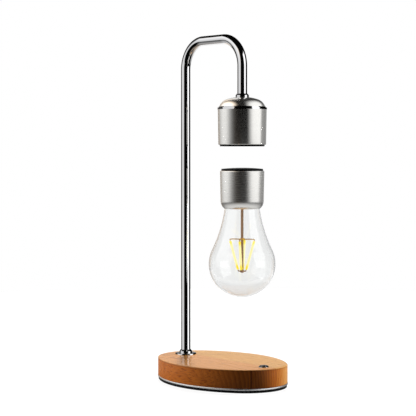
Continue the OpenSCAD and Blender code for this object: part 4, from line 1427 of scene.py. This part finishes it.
@dataclass
class FloatingBulb(Assembly):
    """The bulb that floats below the cup."""

    ball: float = 0.034  # radius of the glass ball
    neck: float = 0.0165  # least radius of its neck
    neck_curve: float = 0.140  # radius of the hollow curve into the neck
    glass: float = 0.001  # thickness of the glass
    cap_low: float = 0.022  # radius of the cap where its foot begins
    cap_rim: float = 0.0012  # rounding of the cap's upper edge
    cap_foot: float = 0.010  # radius of its round foot
    cap_wall: float = 0.0018  # thickness of the cap
    lid: float = 0.0213  # radius of the black lid
    lid_crown: float = 0.0011  # how far the lid's top bows up
    lid_edge: float = 0.0004  # rounding of the lid's edge
    ledge: float = 0.0014  # depth of the lid's seat in the cap
    rod_edge: float = 0.0004  # rounding of the rod's lower end
    arms: int = 4  # number of filaments and of each star's wires
    spreader: float = 0.013  # reach of the upper wires
    hub: float = 0.0038  # reach of the lower wires
    turn: float = 37.0  # angle of the first wire, in degrees
    wire: float = 0.0011  # diameter of the wires
    wire_bend: float = 0.00088  # radius of their bends
    lead: float = 0.0007  # diameter of the leads
    filament: float = 0.0024  # diameter of the filaments
    lead_low: float = 0.0018  # length of a lower lead
    lead_top: float = 0.002  # length of an upper lead
    hub_height: float = 0.002  # height of a star's hub
    hub_wall: float = 0.0009  # thickness of a hub
    hook: float = 0.0009  # how far an arm's end turns along its filament
    sag: float = 0.0002  # how far an arm bows up on its way
    sag_place: float = 0.6  # where it bows up, as a share of its reach
    steps: int = 144  # steps round the axis
    ball_steps: int = 56  # steps from the glass's pole to its neck
    neck_steps: int = 30  # steps along the neck
    foot_steps: tuple[int, int] = (16, 12)  # steps down the cap's foot, outside and inside
    lid_steps: int = 14  # steps over the lid's bow
    rod_steps: int = 40  # steps round the rod and the hubs
    bend_steps: int = 8  # steps round a wire's bend
    wire_steps: int = 24  # steps round a wire
    axis: Matrix = field(default_factory=lambda: upright("glass_bulb"))  # place of the bulb's axis

    def build(self) -> None:
        """Builds the glass, the cap with its lid, and the cage inside."""
        self.build_glass()
        self.build_cap()
        self.build_lid()
        self.build_rod()
        self.build_stars()
        self.build_hubs()

    def neck_centre(self) -> Point:
        """The centre of the hollow curve between ball and neck.

        Returns:
            Its distance from the axis and its height.
        """
        out = self.neck + self.neck_curve
        rise = math.sqrt((self.ball + self.neck_curve) ** 2 - out ** 2)
        return out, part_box("glass_bulb")[0].z + self.ball + rise

    def glass_curve(self, inset: float) -> list[Point]:
        """The glass's surface from its pole up to its open end.

        Args:
            inset: how far the curve lies inside the outer surface.

        Returns:
            The curve's points.
        """
        low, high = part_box("glass_bulb")
        centre = low.z + self.ball
        out, rise = self.neck_centre()
        lean = math.atan2(rise - centre, out)
        tail = HALF_TURN + math.asin((rise - high.z) / (self.neck_curve + inset))
        ball = arc((0.0, centre), self.ball - inset, -QUARTER_TURN, lean, self.ball_steps)
        neck = arc((out, rise), self.neck_curve + inset, HALF_TURN + lean, tail, self.neck_steps)
        return [(0.0, ball[0][1]), *ball[1:], *neck[1:]]

    def glass_radius(self, z: float) -> float:
        """The glass's outer radius at a height on its neck."""
        out, rise = self.neck_centre()
        return out - math.sqrt(self.neck_curve ** 2 - (rise - z) ** 2)

    def build_glass(self) -> None:
        """Builds the thin glass shell."""
        profile = self.glass_curve(0.0) + list(reversed(self.glass_curve(self.glass)))
        shell = self.shop.revolved("glass_shell", profile, self.axis, False, self.steps)
        shell.visible_shadow = False
        self.shop.hang(shell, Body.BULB, Slot.GLASS, "glass_bulb")

    def build_cap(self) -> None:
        """Builds the metal cap."""
        low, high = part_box("cap_shell")
        rim, seat, hole = half_width("cap_shell"), high.z - self.ledge, self.lid + FIT
        foot_r = self.cap_low - self.cap_foot
        mouth = self.glass_radius(low.z) + FIT - foot_r
        foot = (foot_r, low.z + math.sqrt(self.cap_foot ** 2 - mouth ** 2))
        inner = self.cap_foot - self.cap_wall
        outer_steps, inner_steps = self.foot_steps
        outside = arc(foot, self.cap_foot, 0.0, -math.acos(mouth / self.cap_foot), outer_steps)
        inside = arc(foot, inner, -math.acos(mouth / inner), 0.0, inner_steps)
        self.shop.turned("cap_wall", [
            (hole, high.z), (rim, high.z, self.cap_rim), *outside, *inside,
            (rim - self.cap_wall, seat), (hole, seat),
        ], self.axis, True, self.steps, Body.BULB, Slot.NICKEL, "cap_shell")

    def build_lid(self) -> None:
        """Builds the black lid on the cap."""
        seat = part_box("cap_shell")[1].z - self.ledge
        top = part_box("cap_lid")[1].z
        bow = (self.lid ** 2 + self.lid_crown ** 2) / (2 * self.lid_crown)
        curve = arc((0.0, top - bow), bow, QUARTER_TURN, math.acos(self.lid / bow), self.lid_steps)
        self.shop.turned("lid_plate", [
            *curve[:-1], (self.lid, curve[-1][1], self.lid_edge), (self.lid, seat), (0.0, seat),
        ], self.axis, False, self.steps, Body.BULB, Slot.DISC, "cap_lid")

    def build_rod(self) -> None:
        """Builds the rod that carries the cage."""
        low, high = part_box("stem_rod")
        half = half_width("stem_rod")
        self.shop.turned("stem_bar", [
            (0.0, low.z), (half, low.z, self.rod_edge), (half, high.z), (0.0, high.z),
        ], self.axis, False, self.rod_steps, Body.BULB, Slot.BRONZE, "stem_rod")

    def star_heights(self) -> Point:
        """The heights of the upper and the lower star."""
        half = self.hub_height / 2
        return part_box("spreader_wire")[1].z - half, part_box("lower_hub")[0].z + half

    def build_stars(self) -> None:
        """Builds the wire stars, the leads and the leaning filaments."""
        top, foot = self.star_heights()
        begin, finish = Vector((self.hub, 0.0, foot)), Vector((self.spreader, 0.0, top))
        along = (finish - begin).normalized()
        inner = half_width("stem_rod") + self.hub_wall / 2
        star = [(inner, 0.0, top), (self.spreader * self.sag_place, 0.0, top + self.sag), finish,
                finish - along * self.hook]
        foot_star = [(inner, 0.0, foot), begin, begin + along * self.hook]
        low_end, top_end = begin + along * self.lead_low, finish - along * self.lead_top
        lap = along * (self.filament / 2)
        filaments = [f"filament_{number}" for number in range(1, self.arms + 1)]
        jobs = (
            ("spreader_arms", star, self.wire, Slot.GOLD, ["spreader_wire"]),
            ("hub_arms", foot_star, self.wire, Slot.BRONZE, ["lower_hub"]),
            ("upper_leads", [finish, top_end - lap], self.lead, Slot.GOLD, []),
            ("lower_leads", [begin, low_end + lap], self.lead, Slot.BRONZE, []),
            ("filament_bars", [low_end, top_end], self.filament, Slot.FILAMENT, filaments),
        )
        tool = BentBars()
        for name, path, width, slot, nodes in jobs:
            bars = tool.apply(self.shop, name, [tuple(spot) for spot in path], {
                "Radius": width / 2, "Bend Radius": self.wire_bend, "Bend Steps": self.bend_steps,
                "Round Steps": self.wire_steps, "Count": self.arms, "First Turn": math.radians(self.turn),
                "Axis": tuple(self.axis.translation), "Finish": self.shop.library.materials[slot]})
            self.shop.hang(bars, Body.BULB, slot, *nodes)

    def build_hubs(self) -> None:
        """Builds the rings that hold the stars on the rod."""
        rod = half_width("stem_rod")
        outer, edge, half = rod + self.hub_wall, self.hub_wall * THIN_EDGE, self.hub_height / 2
        kinds = (("upper_hub_ring", Slot.GOLD), ("lower_hub_ring", Slot.BRONZE))
        for (name, slot), height in zip(kinds, self.star_heights()):
            low, high = height - half, height + half
            self.shop.turned(name, [
                (rod, low), (outer, low, edge), (outer, high, edge), (rod, high),
            ], self.axis, True, self.rod_steps, Body.BULB, slot)


@dataclass(frozen=True)
class Surround:
    """What a reflection meets round the lamp: two tall soft boxes, the backdrop and the table.

    Each pair holds the two ends of a soft step along a direction's part aside,
    away from the camera or up, or the light before and after such a step.
    """

    right_edge: Point  # how far aside the right box's near edge lies
    right_back: Point  # how far behind the lamp the right box fades
    right_tone: Point  # light of the right box before and behind that
    left_edge: Point  # how far aside the left box's near edge lies
    left_back: Point  # how far behind the lamp the left box fades
    left_tone: Point  # light of the left box before and behind that
    left_power: float  # bends the fall of the left box towards its near edge
    left_turn: float  # how far that edge is measured by the turn from the camera
    reach: float  # how far back the boxes' upper parts reach
    top: Point  # heights between which the boxes end
    backdrop: Point  # heights between which the backdrop ends
    backdrop_tone: float  # light of the backdrop
    table: Point  # slopes between which the table's light changes
    table_tone: Point  # light of the table at those slopes
    table_gain: float  # what the table's light gains away from the camera
    gain_start: float = 0.15  # how far away that gain begins
    brink: Point = (-0.2, -0.16)  # slopes between which the table ends
    lean: float = 0.28  # how far the boxes lean in above the lamp
    rear_lean: float = 0.1  # how far their near edges draw apart behind it
    middle: Point = (-0.1, 0.1)  # how far aside the left box gives way to the right one
    left_lift: float = 0.9  # what the left box's light gains with its height
    rear_away: Point = (0.5, 0.85)  # how far behind the lamp the boxes close up
    rear_up: Point = (0.15, 0.4)  # heights up to which they do
    gap_aside: Point = (0.3, 0.62)  # how far aside the gap above the left box ends
    gap_away: Point = (0.6, 0.9)  # how far behind the lamp that gap ends
    gap_up: Point = (0.1, 0.4)  # heights between which it begins
    backdrop_away: Point = (0.92, 0.96)  # how far behind the lamp the backdrop begins

    def light(self, across: Signal, away: Signal, up: Signal) -> Signal:
        """The light from a direction.

        Args:
            across: the direction's part to the camera's right.
            away: its part away from the camera.
            up: its upward part.

        Returns:
            The light from there.
        """
        above = up.rise(*self.brink)
        boxes = self.boxes(across, away, up) * above * up.fall(*self.top)
        backdrop = away.rise(*self.backdrop_away) * up.rise(*self.backdrop, self.backdrop_tone, 0.0) * above
        beyond = (away - self.gain_start).most(0.0) * self.table_gain
        table = up.rise(*self.table, *self.table_tone) + beyond * above.rest()
        return boxes.most(backdrop).most(table)

    def boxes(self, across: Signal, away: Signal, up: Signal) -> Signal:
        """The light of the two soft boxes from a direction.

        Args:
            across: the direction's part to the camera's right.
            away: its part away from the camera.
            up: its upward part.

        Returns:
            The light from there.
        """
        lifted = up.most(0.0)
        closed = away.rise(*self.rear_away) * up.fall(*self.rear_up)
        beside = (across.size() + lifted * self.lean - away.most(0.0) * self.rear_lean).most(closed)
        behind = away - lifted * self.reach
        right_box = beside.rise(*self.right_edge) * behind.rise(*self.right_back, *self.right_tone)
        aside = beside * (1.0 - self.left_turn) + (away + lifted * self.lean + 1.0) * self.left_turn
        clear = across.size().rise(*self.gap_aside).most(away.rise(*self.gap_away))
        gap = lifted.rise(*self.gap_up) * clear.rest()
        left_box = aside.rise(*self.left_edge).calc("POWER", self.left_power) * gap.rest()
        left_box = left_box * behind.rise(*self.left_back, *self.left_tone) * (lifted * self.left_lift + 1.0)
        return across.rise(*self.middle).between(right_box, left_box)


@dataclass(frozen=True)
class SoftLamp:
    """A round soft lamp that lights the matt surfaces."""

    name: str
    bearing: float  # bearing in degrees, counted from the camera to its right
    height: float  # height in degrees above the horizon
    size: float  # diameter
    power: float  # power in watts
    reach: float = 1.6  # how far from the origin it hangs


def outward(bearing: float, height: float) -> Vector:
    """The direction at a bearing and a height in degrees, bearing 0 being along -Y."""
    turn, tilt = math.radians(bearing), math.radians(height)
    return Vector((math.sin(turn) * math.cos(tilt), -math.cos(turn) * math.cos(tilt), math.sin(tilt)))


def stand(data: ID, place: Vector, back: Vector) -> Object:
    """Stands a camera or a lamp in the scene.

    Args:
        data: the camera or the lamp.
        place: where it stands.
        back: the direction at its back.

    Returns:
        The object.
    """
    made = bpy.data.objects.new(data.name, data)
    made.location = place
    made.rotation_euler = back.to_track_quat("Z", "Y").to_euler()
    bpy.context.scene.collection.objects.link(made)
    return made


@dataclass
class Studio(Assembly):
    """The pale floor, the soft light and the camera."""

    target: Triple = (-0.02207, 0.0, 0.1809)  # point the camera looks at
    distance: float = 1.4839  # how far the camera stands from it
    azimuth: float = 49.87  # bearing of the camera in degrees, 0 looking along Y
    elevation: float = 2.27  # height in degrees above the horizon
    lens: float = 122.3  # focal length in millimetres
    sensor: float = 36.0  # width of the picture in millimetres
    floor: float = 1.0  # radius of the floor
    floor_steps: int = 96  # steps round it
    floor_shade: float = 0.15  # how much light it gives back
    floor_light: float = 0.93  # light of its own, seen by the camera and through the glass
    floor_far: Point = (0.78, 1.0)  # distances between which its light through the glass changes
    floor_glass: Point = (0.6, 0.775)  # shares of its light through the glass at those distances
    # what polished surfaces mirror
    crisp: Surround = Surround(
        right_edge=(0.71, 0.77), right_back=(-0.1, -0.03), right_tone=(1.45, 0.0),
        left_edge=(0.63, 0.7), left_back=(0.19, 0.26), left_tone=(0.8, 0.06), left_power=1.0, left_turn=0.0,
        reach=0.3, top=(0.58, 0.7), backdrop=(0.06, 0.27), backdrop_tone=0.4,
        table=(-0.97, -0.8), table_tone=(0.3, 0.0), table_gain=1.5)
    # what satin surfaces mirror
    soft: Surround = Surround(
        right_edge=(0.36, 0.85), right_back=(0.03, 0.3), right_tone=(1.12, 0.3),
        left_edge=(0.0, 1.0), left_back=(0.17, 0.95), left_tone=(0.9, 0.4), left_power=1.4, left_turn=1.0,
        reach=0.9, top=(2.0, 3.0), backdrop=(0.17, 0.24), backdrop_tone=0.42,
        table=(-0.85, -0.08), table_tone=(0.76, 0.0), table_gain=0.0)
    dark: float = 0.002  # least light of either
    fill: float = 0.06  # share of the surround's light on matt surfaces
    glass_gain: float = 1.9  # how much brighter the surround is inside the glass
    glass_away: Point = (-0.2, 0.5)  # how far behind the lamp the light inside the glass changes
    glass_tone: Point = (0.7, 0.95)  # least light inside the glass before and behind that
    warm: Colour = (1.0, 0.84, 0.68)  # tint of the warm reflections
    warm_left: Point = (-0.8, -0.45)  # how far to the left they begin
    warm_right: Point = (-0.25, 0.0)  # how far to the right they end
    warm_low: Point = (-0.5, -0.2)  # slopes between which they begin
    warm_floor: Point = (-0.9, -0.5)  # slopes between which the tint of the table in polished surfaces ends
    lamps: tuple[SoftLamp, ...] = (
        SoftLamp("left_lamp", -102.0, 12.0, 0.6, 22.5),
        SoftLamp("right_lamp", 110.0, 12.0, 0.6, 40.0),
        SoftLamp("rear_lamp", 181.0, 50.0, 0.25, 32.0),
    )

    def build(self) -> None:
        """Sets the stage."""
        bpy.context.scene.view_settings.view_transform = "Standard"
        self.build_camera()
        self.build_world()
        self.build_floor()
        self.build_lamps()

    def build_camera(self) -> None:
        """Places the camera as the photograph's was."""
        data = bpy.data.cameras.new("photo_camera")
        data.lens = self.lens
        data.sensor_width = self.sensor
        back = outward(self.azimuth, self.elevation)
        bpy.context.scene.camera = stand(data, Vector(self.target) + back * self.distance, back)

    def build_world(self) -> None:
        """Builds the light: white for the camera, a studio of soft boxes for reflections."""
        world = bpy.data.worlds.new("studio_light")
        bpy.context.scene.world = world
        world.use_nodes = True
        graph = Graph(world.node_tree)
        sight = graph.node("ShaderNodeTexCoord")
        turned = graph.node("ShaderNodeVectorRotate", {
            "Vector": sight.outputs["Generated"], "Angle": -math.radians(self.azimuth)},
            rotation_type="Z_AXIS")
        across, away, up = graph.parts(turned.outputs["Vector"])
        path = graph.node("ShaderNodeLightPath")
        mirrored = Signal(graph, path.outputs["Is Singular Ray"])
        bounced, matt, inside = (Signal(graph, path.outputs[f"{kind} Depth"]).calc("MINIMUM", 1.0)
                                 for kind in ("Glossy", "Diffuse", "Transmission"))
        through = Signal(graph, path.outputs["Is Transmission Ray"]) * bounced.rest() * matt.rest()
        unseen = through.most(path.outputs["Is Camera Ray"]).rest()
        crisp, soft = (kind.light(across, away, up).most(self.dark) for kind in (self.crisp, self.soft))
        studio = mirrored.between(crisp, soft)
        in_glass = (studio * self.glass_gain).most(away.rise(*self.glass_away, *self.glass_tone))
        shaded = inside.between(in_glass, studio) * matt.spread(1.0, self.fill)
        aside = across.rise(*self.warm_left) * across.fall(*self.warm_right) * up.rise(*self.warm_low)
        warm = aside.most(up.fall(*self.warm_floor) * mirrored) * unseen
        shade = graph.node("ShaderNodeBackground", {
            "Color": graph.blend(warm, WHITE, self.warm), "Strength": unseen.rest() + unseen * shaded})
        graph.node("ShaderNodeOutputWorld", {"Surface": shade.outputs["Background"]})

    def build_floor(self) -> None:
        """Lays the round floor."""
        edge = arc((0.0, 0.0), self.floor, 0.0, FULL_TURN, self.floor_steps)[:-1]
        floor = self.shop.mesh("floor", [Vector((x, y, 0.0)) for x, y in edge], [range(len(edge))])
        made = bpy.data.materials.new("pale_floor")
        made.use_nodes = True
        graph = Graph(made.node_tree)
        path = graph.node("ShaderNodeLightPath")
        far = graph.signal("ShaderNodeVectorMath", "Value", {0: graph.place()}, operation="LENGTH")
        share = far.rise(*self.floor_far, *self.floor_glass)
        through = share.calc("MULTIPLY", path.outputs["Is Transmission Ray"])
        seen = through.calc("ADD", path.outputs["Is Camera Ray"])
        matt = graph.node("ShaderNodeBsdfDiffuse", {"Color": (*grey(self.floor_shade), 1.0)})
        glow = graph.node("ShaderNodeEmission", {"Color": (*WHITE, 1.0), "Strength": seen * self.floor_light})
        both = graph.node("ShaderNodeAddShader", {0: matt.outputs["BSDF"], 1: glow.outputs["Emission"]})
        graph.node("ShaderNodeOutputMaterial", {"Surface": both.outputs["Shader"]})
        floor.data.materials.append(made)
        floor.visible_glossy = False

    def build_lamps(self) -> None:
        """Hangs the soft lamps."""
        for soft_lamp in self.lamps:
            data = bpy.data.lights.new(soft_lamp.name, "AREA")
            data.shape = "DISK"
            data.size = soft_lamp.size
            data.energy = soft_lamp.power
            back = outward(self.azimuth + soft_lamp.bearing, soft_lamp.height)
            lamp = stand(data, back * soft_lamp.reach, back)
            lamp.visible_camera = False
            lamp.visible_glossy = False
            lamp.visible_transmission = False


def main() -> None:
    """Builds the lamp's pieces and the stage in order."""
    logging.basicConfig(level=logging.INFO, format="%(name)s %(message)s")
    library = FinishLibrary()
    library.dress_nodes(frame["record"])
    shop = Workshop(library)
    for assembly in (LampBase, PushSwitch, PowerInlet, LampArm, MagnetCup, FloatingBulb, Studio):
        assembly(shop).build()
    for piece, body in shop.pieces:
        log.info("%s: %d faces on %s", piece.name, len(piece.data.polygons), body.value)
    log.info("%d pieces", len(shop.pieces))


if __name__ == "__main__":
    main()
